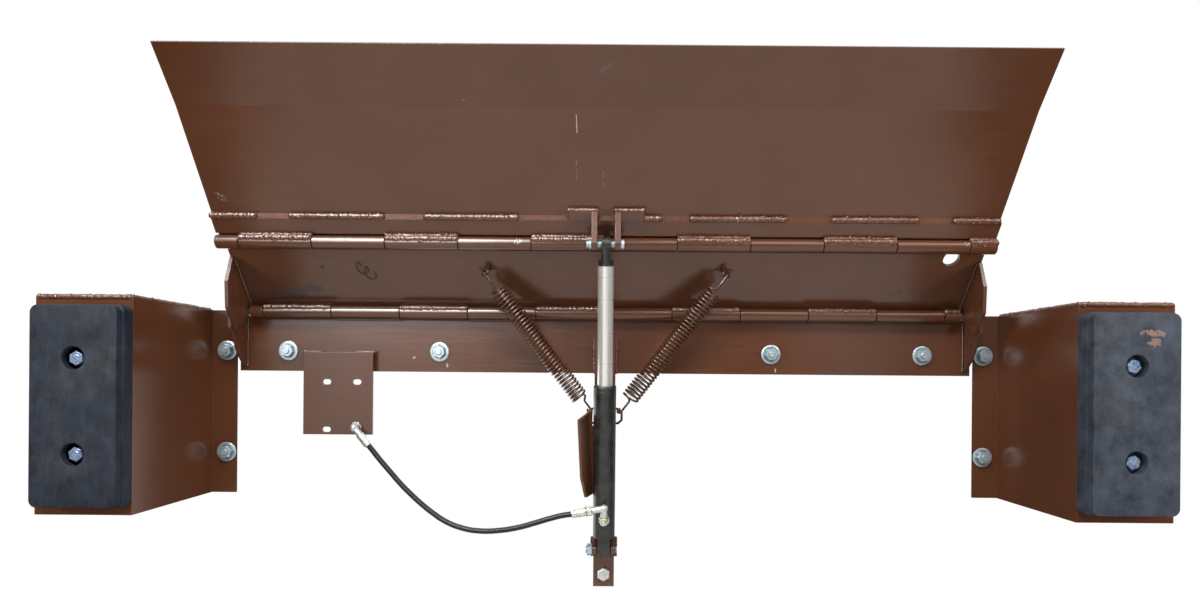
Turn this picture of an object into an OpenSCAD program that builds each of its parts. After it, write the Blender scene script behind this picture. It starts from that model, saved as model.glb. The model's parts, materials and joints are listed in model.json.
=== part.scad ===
// Hydraulic edge-of-dock leveler: a face plate on the dock wall carries a short hinged ramp, the ramp
// carries a hinged lip, and one cylinder in front of a strut lifts both. Two extension springs pull the
// ramp down, and a boxed bumper stands at each end. Modelled with ramp and lip raised, in millimetres.
// The origin lies on the dock wall, at mid width, on the line of the face plate's anchors.
// +X is to the right seen from the truck, +Y points into the wall, +Z is up.

/* [Face plate] */
// Width of the face plate
frame_w = 1828; // [1500:2:2200]
// Thickness of the face plate
face_t = 12; // [8:0.5:16]
// Face plate height below the anchor line
face_below = 50; // [40:1:60]
// Face plate height above the anchor line
face_above = 85; // [60:1:87]
// Diameter of the anchor holes
anchor_d = 22; // [14:1:26]
// Distance between the two inner anchors
anchor_inner = 830; // [600:1:1000]
// Distance from the plate's end to its outer anchor
anchor_end = 120; // [60:1:160]

/* [Hinges] */
// Outer diameter of the hinge tubes
tube_d = 32; // [28:1:40]
// Diameter of the hinge pins
pin_d = 19; // [16:0.5:22]
// Length of one hinge knuckle and its gap
knuckle_pitch = 168; // [120:1:240]
// Gap between neighbouring knuckles
knuckle_gap = 2.5; // [1.5:0.5:6]
// Clearance between the hinge tubes and the face plate
tube_clear = 2; // [1:0.5:6]
// Height of the rear hinge axis above the anchor line
rear_z = 97; // [90:1:110]

/* [Ramp] */
// Distance from rear pin to front pin
ramp_len = 191; // [170:1:260]
// Thickness of the ramp plate
ramp_t = 10; // [6:0.5:14]
// Slope of the raised ramp, in degrees
ramp_raise = 51.5; // [40:0.5:55]
// Clearance between the hinge tubes and the ramp plate
plate_rise = 2; // [1:0.5:6]
// Diameter of the lifting hole in the ramp
lift_hole_d = 38; // [20:1:40]

/* [Lip] */
// Lip length from the front pin
lip_len = 423; // [340:1:520]
// Thickness of the lip plate
lip_t = 12; // [8:0.5:12]
// Lip slope beyond the ramp's slope, in degrees
lip_extra = 3.2; // [0:0.1:5]
// Distance from the front pin to the bend of the lip
lip_bend_at = 300; // [200:1:320]
// Downward bend of the lip's tip, in degrees
lip_bend = 6; // [2:0.5:10]
// Width by which the lip passes the ramp on each side
lip_over = 7; // [4:1:11]
// Thickness of the leaf under the lip
leaf_t = 10; // [6:0.5:12]
// Distance from the front pin to the leaf's free edge
leaf_end = 56; // [44:1:60]

/* [Side plates] */
// Thickness of toe guards and end gussets
side_t = 8; // [5:0.5:12]
// Running gap between toe guard and end gusset
side_gap = 5; // [4:0.5:10]
// Distance from the end of the face plate to the gusset
gusset_inset = 9; // [4:1:20]

/* [Cylinder] */
// Distance of the base pin from the dock wall
base_out = 45; // [42:1:60]
// Depth of the base pin below the anchor line
base_down = 484; // [440:1:560]
// Outer diameter of the barrel
barrel_d = 53; // [48:1:60]
// Wall of the barrel
barrel_wall = 5; // [3.5:0.5:7]
// Top of the barrel, measured from the base pin
barrel_top = 414; // [380:1:440]
// Diameter of the rod
rod_d = 36; // [25:1:38]
// Width of the rod end
rod_end_w = 20; // [16:1:28]
// Diameter of the cylinder's two pins
pivot_d = 17; // [14:0.5:20]
// Height of the oil port above the base pin
port_up = 91; // [80:1:130]

/* [Strut] */
// Width of the strut
strut_w = 52; // [48:1:70]
// Thickness of the strut
strut_t = 10; // [6:0.5:12]
// Lower end of the strut below the anchor line
strut_down = 585; // [570:1:680]
// Depth of the strut's anchor below the anchor line
strut_anchor_down = 553; // [535:1:640]
// Thickness of the clevis ears
ear_t = 11; // [6:0.5:14]
// Thickness of the cylinder guard
guard_t = 6; // [4:0.5:8]

/* [Springs] */
// Mean diameter of the coils
coil_d = 38; // [30:1:40]
// Diameter of the spring wire
wire_d = 5; // [4:0.5:6]
// Turns of each spring, with its two end turns
coils = 26; // [20:1:32]
// Distance of the ramp staple from the rear pin
staple_u = 115; // [95:1:135]
// Distance of the ramp staple from mid width
staple_x = 285; // [200:1:320]
// Diameter of the staple wire
staple_d = 6; // [5:0.5:8]

/* [Valve plate] */
// Width of the valve plate
valve_w = 172; // [150:1:220]
// Height of the valve plate
valve_h = 204; // [200:1:260]
// Thickness of the valve plate
valve_t = 5; // [3:0.5:8]
// Distance of the plate's front from the wall
valve_out = 32; // [26:1:45]

/* [Bumpers] */
// Gap between the face plate and the bumper box
box_gap = 13; // [6:1:40]
// Width of the box front
box_w = 203; // [160:1:260]
// Depth of the box in front of the wall
box_out = 305; // [200:1:360]
// Top of the box above the anchor line
box_above = 101; // [60:1:160]
// Bottom of the box below the anchor line
box_below = 356; // [280:1:420]
// Plate thickness of the box
box_t = 8; // [5:0.5:12]
// Width of the box flanges
box_flange = 59; // [50:1:90]
// Thickness of the rubber pad
pad_t = 45; // [30:1:60]

/* [Hidden] */
$fn = 48;
// Radial clearance of a pin in its bore
pin_clear = 0.1;
// Length by which a hinge pin stops short of its last knuckle
pin_short = 2;
// Gap left where a piece seats on a round one
seat = 0.25;

frame_half = frame_w / 2;
gusset_out = frame_half - gusset_inset;
ramp_half = gusset_out - side_t - side_gap;
lip_half = ramp_half + lip_over;
rear_half = ramp_half - side_t - 6;

tube_r = tube_d / 2;
rear_out = face_t + tube_clear + tube_r;
plate_under = tube_r + plate_rise;
plate_top = plate_under + ramp_t;
lip_under = plate_top - lip_t;
lip_start = 7;
leaf_start = tube_r + 3;
leaf_under = lip_under - leaf_t;
knuckle_shift = -4;
knuckle_min = 20;
knuckle_foot = 10;
ramp_back = 6;
ramp_front = ramp_len - 3;

// Lip lugs: two angle stubs that stand on the underside of the lip
lug_in = 20;
lug_t = 12.7;
lug_leg = 65;
lug_far = 78;
lug_near = 2;
lug_low = -53;
lug_pin_w = 19;
lug_pin_n = -41;
lug_chamfer = 9;

// A point of the ramp or lip, given as distance along it and height above its hinge line
function turned(u, n, slope) = [u * cos(slope) - n * sin(slope), u * sin(slope) + n * cos(slope)];
lip_slope = ramp_raise + lip_extra;
front_pin = [rear_out, rear_z] + turned(ramp_len, 0, ramp_raise);
lug_pin = front_pin + turned(lug_pin_w, lug_pin_n, lip_slope);
cylinder_run = lug_pin - [base_out, -base_down];
cylinder_len = norm(cylinder_run);
cylinder_lean = atan2(cylinder_run[0], cylinder_run[1]);
base_lug_top = 36;
stroke = 160;
barrel_floor = base_lug_top + 20;
rod_foot = barrel_floor + stroke + 8;
rod_top = cylinder_len - 48;
gland_t = 12;
base_lug_w = 30;
lug_stub = 1;
ear_in = base_lug_w / 2 + 3;
ear_out = ear_in + ear_t;

// Oil port: a stub out of the barrel, a rising leg and an arm that slopes down to the hose
port_y = -barrel_d / 2 - 20;
port_rise = 35;
arm_tilt = 10.7;
arm_reach = 76;
arm_len = arm_reach / cos(arm_tilt) - seat;
arm_way = [-cos(arm_tilt), sin(arm_tilt) * sin(cylinder_lean), -sin(arm_tilt) * cos(cylinder_lean)];
pipe_d = 16;
elbow_d = 19;
nut_d = 24;
nut_at = 30;
nut_t = 10;
crimp_d = 20;
hose_d = 13.5;

// Feed hose, from the crimp at the port to the coupling on the valve plate
hose_points = [
    [-76, -113, -384], [-100, -112, -388], [-130, -111, -396], [-165, -109, -407], [-202, -106, -418],
    [-250, -100, -427], [-298, -93, -430], [-340, -86, -425], [-379, -80, -412], [-415, -74, -391],
    [-445, -69, -369], [-470, -65, -348], [-494, -61, -326], [-524, -57, -294], [-552, -54, -263],
    [-568, -52, -244], [-578, -52, -232]];

hose_last = len(hose_points) - 1;
hose_way = (hose_points[hose_last] - hose_points[hose_last - 1])
    / norm(hose_points[hose_last] - hose_points[hose_last - 1]);
coupling_reach = 57;
coupling_at = hose_points[hose_last] + coupling_reach * hose_way;

// The valve plate stands where the hose's coupling takes up its lower right slot
valve_top = -3;
slot_l = 21;
slot_w = 13;
slot_pitch_x = 75;
slot_pitch_z = 118;
slot_edge_x = 58;
slot_z = -76.5;
valve_left = coupling_at[0] - slot_pitch_x - slot_edge_x;

// Staples: the place of each spring's two hooks
staple_bar_n = plate_under - 24;
strut_half = strut_w / 2;
staple_corner_a = [strut_half + 7, -15.5, -139];
staple_corner_b = [strut_half + 16, -28, -148];
staple_low = -175;

box_in = frame_half + box_gap;
box_side = box_in + box_flange;
box_far = box_side + box_w;
box_anchor_top = 0;
box_anchor_low = -254;
box_anchor_edge = 22;
pad_w = box_w - 20;
pad_edge = 19.5;
pad_round = 16;
pad_step = 3;
pad_back = 28;
pad_hole_z = 98;
pad_hole_d = 21;
pad_recess_d = 47;

paint = "#624a3e";
paint_dark = "#542e18";
zinc = "#becdd2";
black = "#3a3c3c";
chrome = "#e1ded7";
rubber = "#343942";
yellow_zinc = "#d7c86e";

// A profile of forward distance and height, drawn out across the width from x0 to x1
module across(x0, x1) {
    translate([x1, 0, 0]) rotate([90, 0, -90]) linear_extrude(x1 - x0) children();
}

module bar_x(d, x0, x1) {
    translate([x0, 0, 0]) rotate([0, 90, 0]) cylinder(d = d, h = x1 - x0);
}

module hole_y(d, x, z, depth = 60) {
    translate([x, 0, z]) rotate([90, 0, 0]) cylinder(d = d, h = depth, center = true);
}

module both_sides() {
    children();
    mirror([1, 0, 0]) children();
}

module side(right) {
    if (right) children();
    else mirror([1, 0, 0]) children();
}

module at_rear_hinge() {
    translate([0, -rear_out, rear_z]) children();
}

module on_ramp() {
    at_rear_hinge() rotate([-ramp_raise, 0, 0]) children();
}

module at_front_hinge() {
    on_ramp() translate([0, -ramp_len, 0]) children();
}

module on_lip() {
    at_front_hinge() rotate([-lip_extra, 0, 0]) children();
}

module on_cylinder() {
    translate([0, -base_out, -base_down]) rotate([cylinder_lean, 0, 0]) children();
}

// One hinge member's tubes: every second knuckle of the row, each with the foot that carries it
module knuckle_row(half, odd) {
    for (k = [-9 : 8]) {
        x0 = max(-half, knuckle_shift + knuckle_pitch * k) + knuckle_gap / 2;
        x1 = min(half, knuckle_shift + knuckle_pitch * (k + 1)) - knuckle_gap / 2;
        if (abs(k) % 2 == odd && x1 - x0 > knuckle_min)
            difference() {
                union() {
                    bar_x(tube_d, x0, x1);
                    across(x0, x1) children();
                }
                bar_x(pin_d + 2 * pin_clear, x0 - 1, x1 + 1);
            }
    }
}

module face_plate() {
    color(paint)
    difference() {
        across(-frame_half, frame_half)
            translate([0, -face_below]) square([face_t, face_below + face_above]);
        for (x = [anchor_inner / 2, frame_half - anchor_end], way = [-1, 1])
            hole_y(anchor_d, way * x, 0);
    }
}

module frame_knuckles() {
    lap = 7;
    color(paint) at_rear_hinge()
        knuckle_row(rear_half, 0)
            translate([face_t - rear_out, face_above - rear_z - lap])
                square([knuckle_foot, rear_z - face_above + lap]);
}

module rear_hinge_pin() {
    color(paint_dark) at_rear_hinge() bar_x(pin_d, pin_short - rear_half, rear_half - pin_short);
}

module end_gusset(right) {
    back = face_t - rear_out;
    top = -4;
    nose = 60;
    low = -face_below - rear_z + 6;
    color(paint) side(right) at_rear_hinge()
        across(gusset_out - side_t, gusset_out)
            polygon([[back, top], [nose - 12, top], [nose, top - 16], [nose, top - 41],
                     [back + 34, low + 32], [back, low]]);
}

module end_gusset_left() { end_gusset(false); }
module end_gusset_right() { end_gusset(true); }

module cylinder_strut() {
    lap_up = 32;
    under = face_below + 2;
    joggle = 2 * face_t;
    color(paint)
    difference() {
        across(-strut_half, strut_half)
            polygon([
                [face_t, lap_up], [face_t + strut_t, lap_up], [face_t + strut_t, -under - 4],
                [strut_t, -under - joggle - 4], [strut_t, -strut_down],
                [0, -strut_down], [0, -under - joggle], [face_t, -under]]);
        hole_y(anchor_d, 0, -strut_anchor_down);
    }
}

module cylinder_clevis() {
    nose = pivot_d / 2 + 5;
    foot = nose + 12;
    color(paint)
    both_sides()
        difference() {
            across(ear_in, ear_out)
                union() {
                    polygon([[strut_t, foot - base_down], [base_out, nose - base_down],
                             [base_out, -nose - base_down], [strut_t, -foot - base_down]]);
                    translate([base_out, -base_down]) circle(nose);
                }
            translate([0, -base_out, -base_down]) bar_x(pivot_d + 2 * pin_clear, 0, 2 * ear_out);
        }
}

// The base pin shows as a stub in each clevis ear, short of the cylinder's base lug between them
module cylinder_base_pin() {
    nut_w = 29;
    nut_h = 12;
    stub = 3;
    near = base_lug_w / 2 + lug_stub + 2 * seat;
    color(zinc) translate([0, -base_out, -base_down]) {
        bar_x(pivot_d, near, ear_out + stub);
        bar_x(pivot_d, -ear_out - nut_h - stub, -near);
        translate([-ear_out - nut_h, 0, 0]) rotate([0, 90, 0]) cylinder(d = nut_w, h = nut_h, $fn = 6);
    }
}

// Bent shield on the strut's left side, notched at its root for the staple, its front edge running back
module cylinder_guard() {
    root = strut_half;
    bend = root + 14;
    bend_y = -75;
    lip = bend + 18;
    lip_y = -130;
    top = -140;
    front_top = -160;
    notch_low = staple_low - 7;
    notch_deep = 36;
    low = -350;
    spare = 10;
    color(paint)
    difference() {
        translate([0, 0, low]) linear_extrude(top - low)
            polygon([
                [-root, -2], [-root, -20], [-bend, bend_y], [-lip, lip_y],
                [-lip - guard_t, lip_y], [-bend - guard_t, bend_y],
                [-root - guard_t, -20], [-root - guard_t, -2]]);
        across(-lip - 2 * guard_t, 0)
            polygon([[0, notch_low], [notch_deep, notch_low], [notch_deep, top], [-lip_y, front_top],
                     [spare - lip_y, front_top], [spare - lip_y, top + spare], [0, top + spare]]);
        across(-lip - 2 * guard_t, 0)
            polygon([[5 - bend_y, low], [-lip_y - 20, low + 51], [-lip_y, front_top],
                     [spare - lip_y, front_top], [spare - lip_y, low - spare], [5 - bend_y, low - spare]]);
    }
}

module strut_staples() {
    end_y = -6;
    hook_drop = 9;
    tilt = cross(staple_corner_b - staple_corner_a, [0, 0, 1]);
    color(paint) both_sides()
        swept([[strut_half, end_y, staple_corner_a[2]], staple_corner_a, staple_corner_b,
               [staple_corner_b[0], staple_corner_b[1], staple_low + hook_drop],
               [staple_corner_a[0], staple_corner_a[1], staple_low], [strut_half, end_y, staple_low]],
              staple_d, 12, unit([tilt[0], tilt[1], 0]), [1, 0, 0], [-1, 0, 0]);
}

module valve_plate() {
    color(paint)
    difference() {
        translate([valve_left, 0, valve_top])
            across(0, valve_w)
                polygon([[face_t, 0], [valve_out, 0], [valve_out, -valve_h], [valve_out - valve_t, -valve_h],
                         [valve_out - valve_t, -valve_t], [face_t, -valve_t]]);
        for (i = [0, 1], j = [0, 1])
            translate([valve_left + slot_edge_x + i * slot_pitch_x, 0, slot_z - j * slot_pitch_z]) {
                for (way = [-1, 1])
                    hole_y(slot_w, way * (slot_l - slot_w) / 2, 0, 3 * valve_out);
                cube([slot_l - slot_w, 3 * valve_out, slot_w], center = true);
            }
    }
}

module bumper_box(right) {
    color(paint) side(right)
    difference() {
        translate([0, 0, -box_below]) linear_extrude(box_above + box_below)
            polygon([
                [box_in, 0], [box_side + box_t, 0], [box_side + box_t, -box_out + box_t],
                [box_far - box_t, -box_out + box_t], [box_far - box_t, 0], [box_far + box_flange, 0],
                [box_far + box_flange, -box_t], [box_far, -box_t], [box_far, -box_out],
                [box_side, -box_out], [box_side, -box_t], [box_in, -box_t]]);
        for (x = [box_in + box_anchor_edge, box_far + box_flange - box_anchor_edge],
             z = [box_anchor_top, box_anchor_low])
            hole_y(anchor_d, x, z);
    }
}

module bumper_box_left() { bumper_box(false); }
module bumper_box_right() { bumper_box(true); }

module bumper_top(right) {
    drop = 3;
    color(paint) side(right)
        translate([box_side + box_t, -box_out + box_t, box_above - box_t - drop])
            cube([box_w - 2 * box_t, box_out - box_t, box_t]);
}

module bumper_top_left() { bumper_top(false); }
module bumper_top_right() { bumper_top(true); }

// Slab with rounded corners, standing on the box front about the pad's middle
module pad_slab(w, h, deep) {
    r = pad_round;
    rotate([90, 0, 0]) linear_extrude(deep) {
        square([w, h - 2 * r], center = true);
        square([w - 2 * r, h], center = true);
        for (x = [-1, 1], y = [-1, 1])
            translate([x * (w / 2 - r), y * (h / 2 - r)]) circle(r);
    }
}

module bumper_pad(right) {
    high = box_above + box_below - 2 * pad_edge;
    color(rubber) side(right)
        translate([box_side + pad_w / 2, -box_out, (box_above - box_below) / 2])
            difference() {
                union() {
                    pad_slab(pad_w, high, pad_back);
                    pad_slab(pad_w - 2 * pad_step, high - 2 * pad_step, pad_t);
                }
                for (way = [-1, 1]) {
                    hole_y(pad_hole_d, 0, way * pad_hole_z, 3 * pad_t);
                    translate([0, -pad_t, 0]) hole_y(pad_recess_d, 0, way * pad_hole_z, pad_t);
                }
            }
}

module bumper_pad_left() { bumper_pad(false); }
module bumper_pad_right() { bumper_pad(true); }

module ramp_plate() {
    hole_in = 74;
    hole_u = ramp_len - 40;
    color(paint) on_ramp()
    difference() {
        across(-ramp_half, ramp_half)
            translate([-ramp_back, plate_under]) square([ramp_front + ramp_back, ramp_t]);
        translate([ramp_half - hole_in, -hole_u, plate_under - 1])
            cylinder(d = lift_hole_d, h = ramp_t + 2);
    }
}

module ramp_rear_knuckles() {
    color(paint) on_ramp()
        knuckle_row(rear_half, 1)
            translate([2 - ramp_back, 0]) square([tube_r, plate_under]);
}

module ramp_front_knuckles() {
    color(paint) at_front_hinge()
        knuckle_row(lip_half, 0)
            translate([ramp_front - ramp_len - 12, 2]) square([12, plate_under - 2]);
}

module toe_guard(right) {
    front = ramp_len - 48;
    low = -76;
    color(paint) side(right) on_ramp()
        across(ramp_half - side_t, ramp_half)
            polygon([[-ramp_back, plate_under], [front, plate_under], [front, plate_under - 5],
                     [front - 32, -40], [front - 83, low], [0, low], [-ramp_back, -30]]);
}

module toe_guard_left() { toe_guard(false); }
module toe_guard_right() { toe_guard(true); }

module front_hinge_pin() {
    color(paint_dark) at_front_hinge() bar_x(pin_d, pin_short - lip_half, lip_half - pin_short);
}

module lip_plate() {
    tip = lip_len - lip_bend_at;
    bevel_long = 22;
    bevel_deep = 7;
    bend_top = lip_t * tan(lip_bend / 2);
    function tip_point(along, up) =
        [lip_bend_at + along * cos(lip_bend) + up * sin(lip_bend),
         lip_under - along * sin(lip_bend) + up * cos(lip_bend)];
    color(paint) on_lip()
        across(-lip_half, lip_half)
            polygon([
                [lip_start, lip_under], [lip_bend_at, lip_under], tip_point(tip, 0),
                tip_point(tip, lip_t - bevel_deep), tip_point(tip - bevel_long, lip_t),
                [lip_bend_at + bend_top, lip_under + lip_t], [lip_start, lip_under + lip_t]]);
}

module lip_leaf() {
    color(paint) on_lip()
        across(-lip_half, lip_half)
            translate([leaf_start, leaf_under]) square([leaf_end - leaf_start, leaf_t]);
}

module lip_knuckles() {
    color(paint) on_lip()
        knuckle_row(lip_half, 1)
            translate([0, leaf_under]) square([leaf_start, leaf_t]);
}

// Angle stub: one leg runs along the lip and takes the bolt, the other stands across it
module lip_lug(right) {
    color(paint) side(right) on_lip()
    difference() {
        union() {
            across(lug_in, lug_in + lug_t)
                polygon([[leaf_start, leaf_under], [leaf_end, leaf_under], [leaf_end, lip_under],
                         [lug_far, lip_under], [lug_far, lug_low], [lug_near + lug_chamfer, lug_low],
                         [lug_near, lug_low + lug_chamfer], [lug_near, 0], [leaf_start, 0]]);
            across(lug_in, lug_in + lug_leg)
                polygon([[lug_far - lug_t, lip_under], [lug_far, lip_under],
                         [lug_far, lug_low], [lug_far - lug_t, lug_low]]);
        }
        bar_x(tube_d + 6, 0, lug_in + lug_leg);
        translate([0, -lug_pin_w, lug_pin_n]) bar_x(pivot_d + 2 * pin_clear, 0, lug_in + lug_leg);
    }
}

module lip_lug_left() { lip_lug(false); }
module lip_lug_right() { lip_lug(true); }

// Pivot bolt through both lugs and the rod end, with a round head on the right and a collar on the left
module lip_bolt() {
    outer = lug_in + lug_t;
    head_d = pivot_d + 6;
    head = 8;
    collar = 5;
    stub = 6;
    color(zinc) on_lip() translate([0, -lug_pin_w, lug_pin_n]) {
        bar_x(pivot_d, -outer - collar - stub, outer + head / 2);
        bar_x(head_d, outer, outer + head);
        bar_x(head_d, -outer - collar, -outer);
    }
}

module cylinder_barrel() {
    color(black) on_cylinder()
        difference() {
            translate([0, 0, base_lug_top]) cylinder(d = barrel_d, h = barrel_top - gland_t - base_lug_top);
            translate([0, 0, barrel_floor]) cylinder(d = barrel_d - 2 * barrel_wall, h = barrel_top);
        }
}

module cylinder_gland() {
    chamfer = 3;
    color(black) on_cylinder()
        translate([0, 0, barrel_top - gland_t])
            rotate_extrude()
                polygon([[rod_d / 2 + pin_clear, 0], [barrel_d / 2, 0], [barrel_d / 2, gland_t - chamfer],
                         [barrel_d / 2 - chamfer, gland_t], [rod_d / 2 + pin_clear, gland_t]]);
}

module cylinder_base_lug() {
    eye = pivot_d / 2 + 8;
    color(black) on_cylinder() {
        bar_x(2 * eye, -base_lug_w / 2, base_lug_w / 2);
        bar_x(pivot_d, -base_lug_w / 2 - lug_stub, base_lug_w / 2 + lug_stub);
        translate([-base_lug_w / 2, -eye, 0]) cube([base_lug_w, 2 * eye, base_lug_top]);
    }
}

module on_port_arm() {
    on_cylinder() translate([0, port_y, port_up + port_rise]) rotate([0, -arm_tilt, 0]) children();
}

module port_elbow() {
    boss_d = 26;
    boss_t = 8;
    color(yellow_zinc) {
        on_cylinder() translate([0, 0, port_up])
            difference() {
                union() {
                    rotate([90, 0, 0]) cylinder(d = pipe_d, h = -port_y);
                    translate([0, -barrel_d / 2, 0]) rotate([90, 0, 0]) cylinder(d = boss_d, h = boss_t);
                    translate([0, port_y, 0]) sphere(d = elbow_d);
                    translate([0, port_y, 0]) cylinder(d = pipe_d, h = port_rise);
                    translate([0, port_y, port_rise]) sphere(d = elbow_d);
                }
                cylinder(d = barrel_d + 2 * seat, h = 3 * boss_d, center = true);
            }
        on_port_arm() bar_x(pipe_d, -nut_at, 0);
    }
}

// Union nut and crimped sleeve that end the hose
module hose_crimp() {
    color(yellow_zinc) on_port_arm() {
        bar_x(crimp_d, -arm_len, -nut_at - nut_t);
        translate([-nut_at - nut_t, 0, 0]) rotate([0, 90, 0]) cylinder(d = nut_d, h = nut_t, $fn = 6);
    }
}

module cylinder_rod() {
    color(chrome) on_cylinder() translate([0, 0, rod_foot]) cylinder(d = rod_d, h = rod_top - rod_foot);
}

module rod_end() {
    eye = pivot_d / 2 + 9;
    collar_t = 14;
    color(black) on_cylinder()
        difference() {
            union() {
                translate([0, 0, rod_top]) cylinder(d = rod_d - 2, h = collar_t);
                intersection() {
                    translate([0, 0, rod_top]) cylinder(d = rod_d - 2, h = cylinder_len - rod_top);
                    translate([-rod_end_w / 2, -rod_d, rod_top]) cube([rod_end_w, 2 * rod_d, cylinder_len]);
                }
                translate([0, 0, cylinder_len]) bar_x(2 * eye, -rod_end_w / 2, rod_end_w / 2);
            }
            translate([0, 0, cylinder_len]) bar_x(pivot_d + 2 * pin_clear, -rod_end_w, rod_end_w);
        }
}

function unit(v) = v / norm(v);

// Closed tube through rings of points, each ring with the same number of sides
module skin_rings(rings) {
    sides = len(rings[0]);
    count = len(rings);
    function at(i, j) = i * sides + j % sides;
    polyhedron(
        points = [for (ring = rings, p = ring) p],
        faces = concat(
            [[for (j = [sides - 1 : -1 : 0]) j]],
            [for (i = [0 : count - 2], j = [0 : sides - 1]) [at(i, j), at(i, j + 1), at(i + 1, j + 1)]],
            [for (i = [0 : count - 2], j = [0 : sides - 1]) [at(i, j), at(i + 1, j + 1), at(i + 1, j)]],
            [[for (j = [0 : sides - 1]) at(count - 1, j)]]));
}

// Ring of points about p, across the direction t and starting towards n
function ring(p, t, n, r, sides) =
    let (way = unit(t), out = unit(n - (n * way) * way), b = cross(way, out))
    [for (j = [0 : sides - 1]) p + r * (cos(360 * j / sides) * out + sin(360 * j / sides) * b)];

// Round bar along a list of points whose directions never point along across_way
module swept(points, d, sides, across_way, first, last) {
    end = len(points) - 1;
    function run(i) = i == 0 ? first : i == end ? last : points[i + 1] - points[i - 1];
    skin_rings([for (i = [0 : end])
        ring(points[i], run(i), unit(cross(run(i), across_way)), d / 2, sides)]);
}

// Direction of the ramp staple's bar, square to the spring's pull
function staple_pull(way) =
    let (flat = turned(staple_u, staple_bar_n, ramp_raise),
         corner = (staple_corner_a + staple_corner_b) / 2)
    [way * (corner[0] - staple_x), corner[1] + rear_out + flat[0], corner[2] - rear_z - flat[1]];
function slope_way() = [0, -cos(ramp_raise), sin(ramp_raise)];
function staple_bar(way) =
    let (pull = staple_pull(way))
    unit([pull * slope_way(), 0, 0] - pull[0] * slope_way());

// Extension spring between the staples of one side: each end turn runs in to a straight shank with a loop
module spring(way) {
    sides = 6;
    steps = 8;
    loop_steps = 7;
    loop_sweep = 240;
    loop_clear = 0.8;
    end_turn = 180;
    end_rise = 8;
    low_shank = 38;
    high_shank = 44;
    coil_r = coil_d / 2;
    loop_r = (wire_d + staple_d) / 2 + loop_clear;
    corner = (staple_corner_a + staple_corner_b) / 2;
    corner_run = staple_corner_b - staple_corner_a;
    bottom = [way * corner[0], corner[1], corner[2]];
    top = bottom - staple_pull(way);
    axis = unit(top - bottom);
    low_r = unit(cross(axis, [way * corner_run[0], corner_run[1], corner_run[2]]));
    low_b = cross(axis, low_r);
    high_r = unit(cross(axis, staple_bar(way)));
    turn = 360 * coils + atan2(high_r * low_b, high_r * low_r);
    body = norm(top - bottom) - low_shank - high_shank;
    function ease(a) = let (t = min(a / end_turn, 1)) 1 - (1 - t) * (1 - t);
    function wide(a) = loop_r + (coil_r - loop_r) * ease(min(a, turn - a));
    function rise(a) =
        low_shank + (body - 2 * end_rise) * a / turn + end_rise * (1 + ease(a) - ease(turn - a));
    function out(a) = cos(a) * low_r + sin(a) * low_b;
    function at(a) = bottom + rise(a) * axis + wide(a) * out(a);
    function loop(centre, far, reach, a) =
        let (n = cos(a) * far - sin(a) * reach)
        ring(centre + loop_r * n, sin(a) * far * (reach * axis) + cos(a) * axis, n, wire_d / 2, sides);
    count = ceil(turn / 360 * steps);
    low_loop = [for (i = [loop_steps : -1 : 0]) loop(bottom, low_r, axis, loop_sweep * i / loop_steps)];
    coil = [for (i = [1 : count - 1])
        let (a = turn * i / count)
        ring(at(a), at(min(a + 5, turn)) - at(max(a - 5, 0)), out(a), wire_d / 2, sides)];
    high_loop = [for (i = [0 : loop_steps]) loop(top, out(turn), -axis, loop_sweep * i / loop_steps)];
    low_end = ring(at(0) - wire_d / 2 * axis, axis, low_r, wire_d / 2, sides);
    high_end = ring(at(turn) + wire_d / 2 * axis, axis, out(turn), wire_d / 2, sides);
    color(paint_dark) skin_rings(concat(low_loop, [low_end], coil, [high_end], high_loop));
}

module ramp_staples() {
    bend = 12;
    color(paint) for (way = [-1, 1]) {
        bar = staple_bar(way);
        on_ramp() translate([way * staple_x, -staple_u, 0])
            rotate([0, 0, -atan2(bar * slope_way(), bar[0])])
                swept(concat([[-bend, 0, plate_under]],
                             [for (a = [180 : 20 : 360])
                                 [bend * cos(a), 0, staple_bar_n + bend + bend * sin(a)]],
                             [[bend, 0, plate_under]]),
                      staple_d, 12, [0, 1, 0], [0, 0, -1], [0, 0, 1]);
    }
}

module spring_left() { spring(-1); }
module spring_right() { spring(1); }

module feed_hose() {
    color(rubber) swept(hose_points, hose_d, 10, [0, 1, 0], arm_way, hose_way);
}

// Elbow on the valve plate, with its arm towards the end of the hose
module hose_coupling() {
    seat_d = 28;
    seat_t = 8;
    tilt = atan2(hose_way[2], hose_way[0]);
    sleeve = 34;
    color(yellow_zinc) {
        translate([coupling_at[0], -valve_out, coupling_at[2]]) rotate([90, 0, 0]) {
            cylinder(d = seat_d, h = seat_t, $fn = 6);
            cylinder(d = pipe_d, h = -valve_out - coupling_at[1]);
        }
        translate(coupling_at) {
            sphere(d = elbow_d);
            rotate([0, -tilt, 0]) bar_x(pipe_d, sleeve - coupling_reach - 1, 0);
            rotate([0, -tilt, 0]) bar_x(crimp_d, seat - coupling_reach, sleeve - coupling_reach);
        }
    }
}

face_plate();
frame_knuckles();
rear_hinge_pin();
end_gusset_left();
end_gusset_right();
cylinder_strut();
cylinder_clevis();
cylinder_base_pin();
cylinder_guard();
strut_staples();
valve_plate();
bumper_box_left();
bumper_box_right();
bumper_top_left();
bumper_top_right();
bumper_pad_left();
bumper_pad_right();
ramp_plate();
ramp_rear_knuckles();
ramp_front_knuckles();
toe_guard_left();
toe_guard_right();
ramp_staples();
front_hinge_pin();
lip_plate();
lip_leaf();
lip_knuckles();
lip_lug_left();
lip_lug_right();
lip_bolt();
cylinder_barrel();
cylinder_gland();
cylinder_base_lug();
port_elbow();
hose_crimp();
cylinder_rod();
rod_end();
spring_left();
spring_right();
feed_hose();
hose_coupling();
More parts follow.
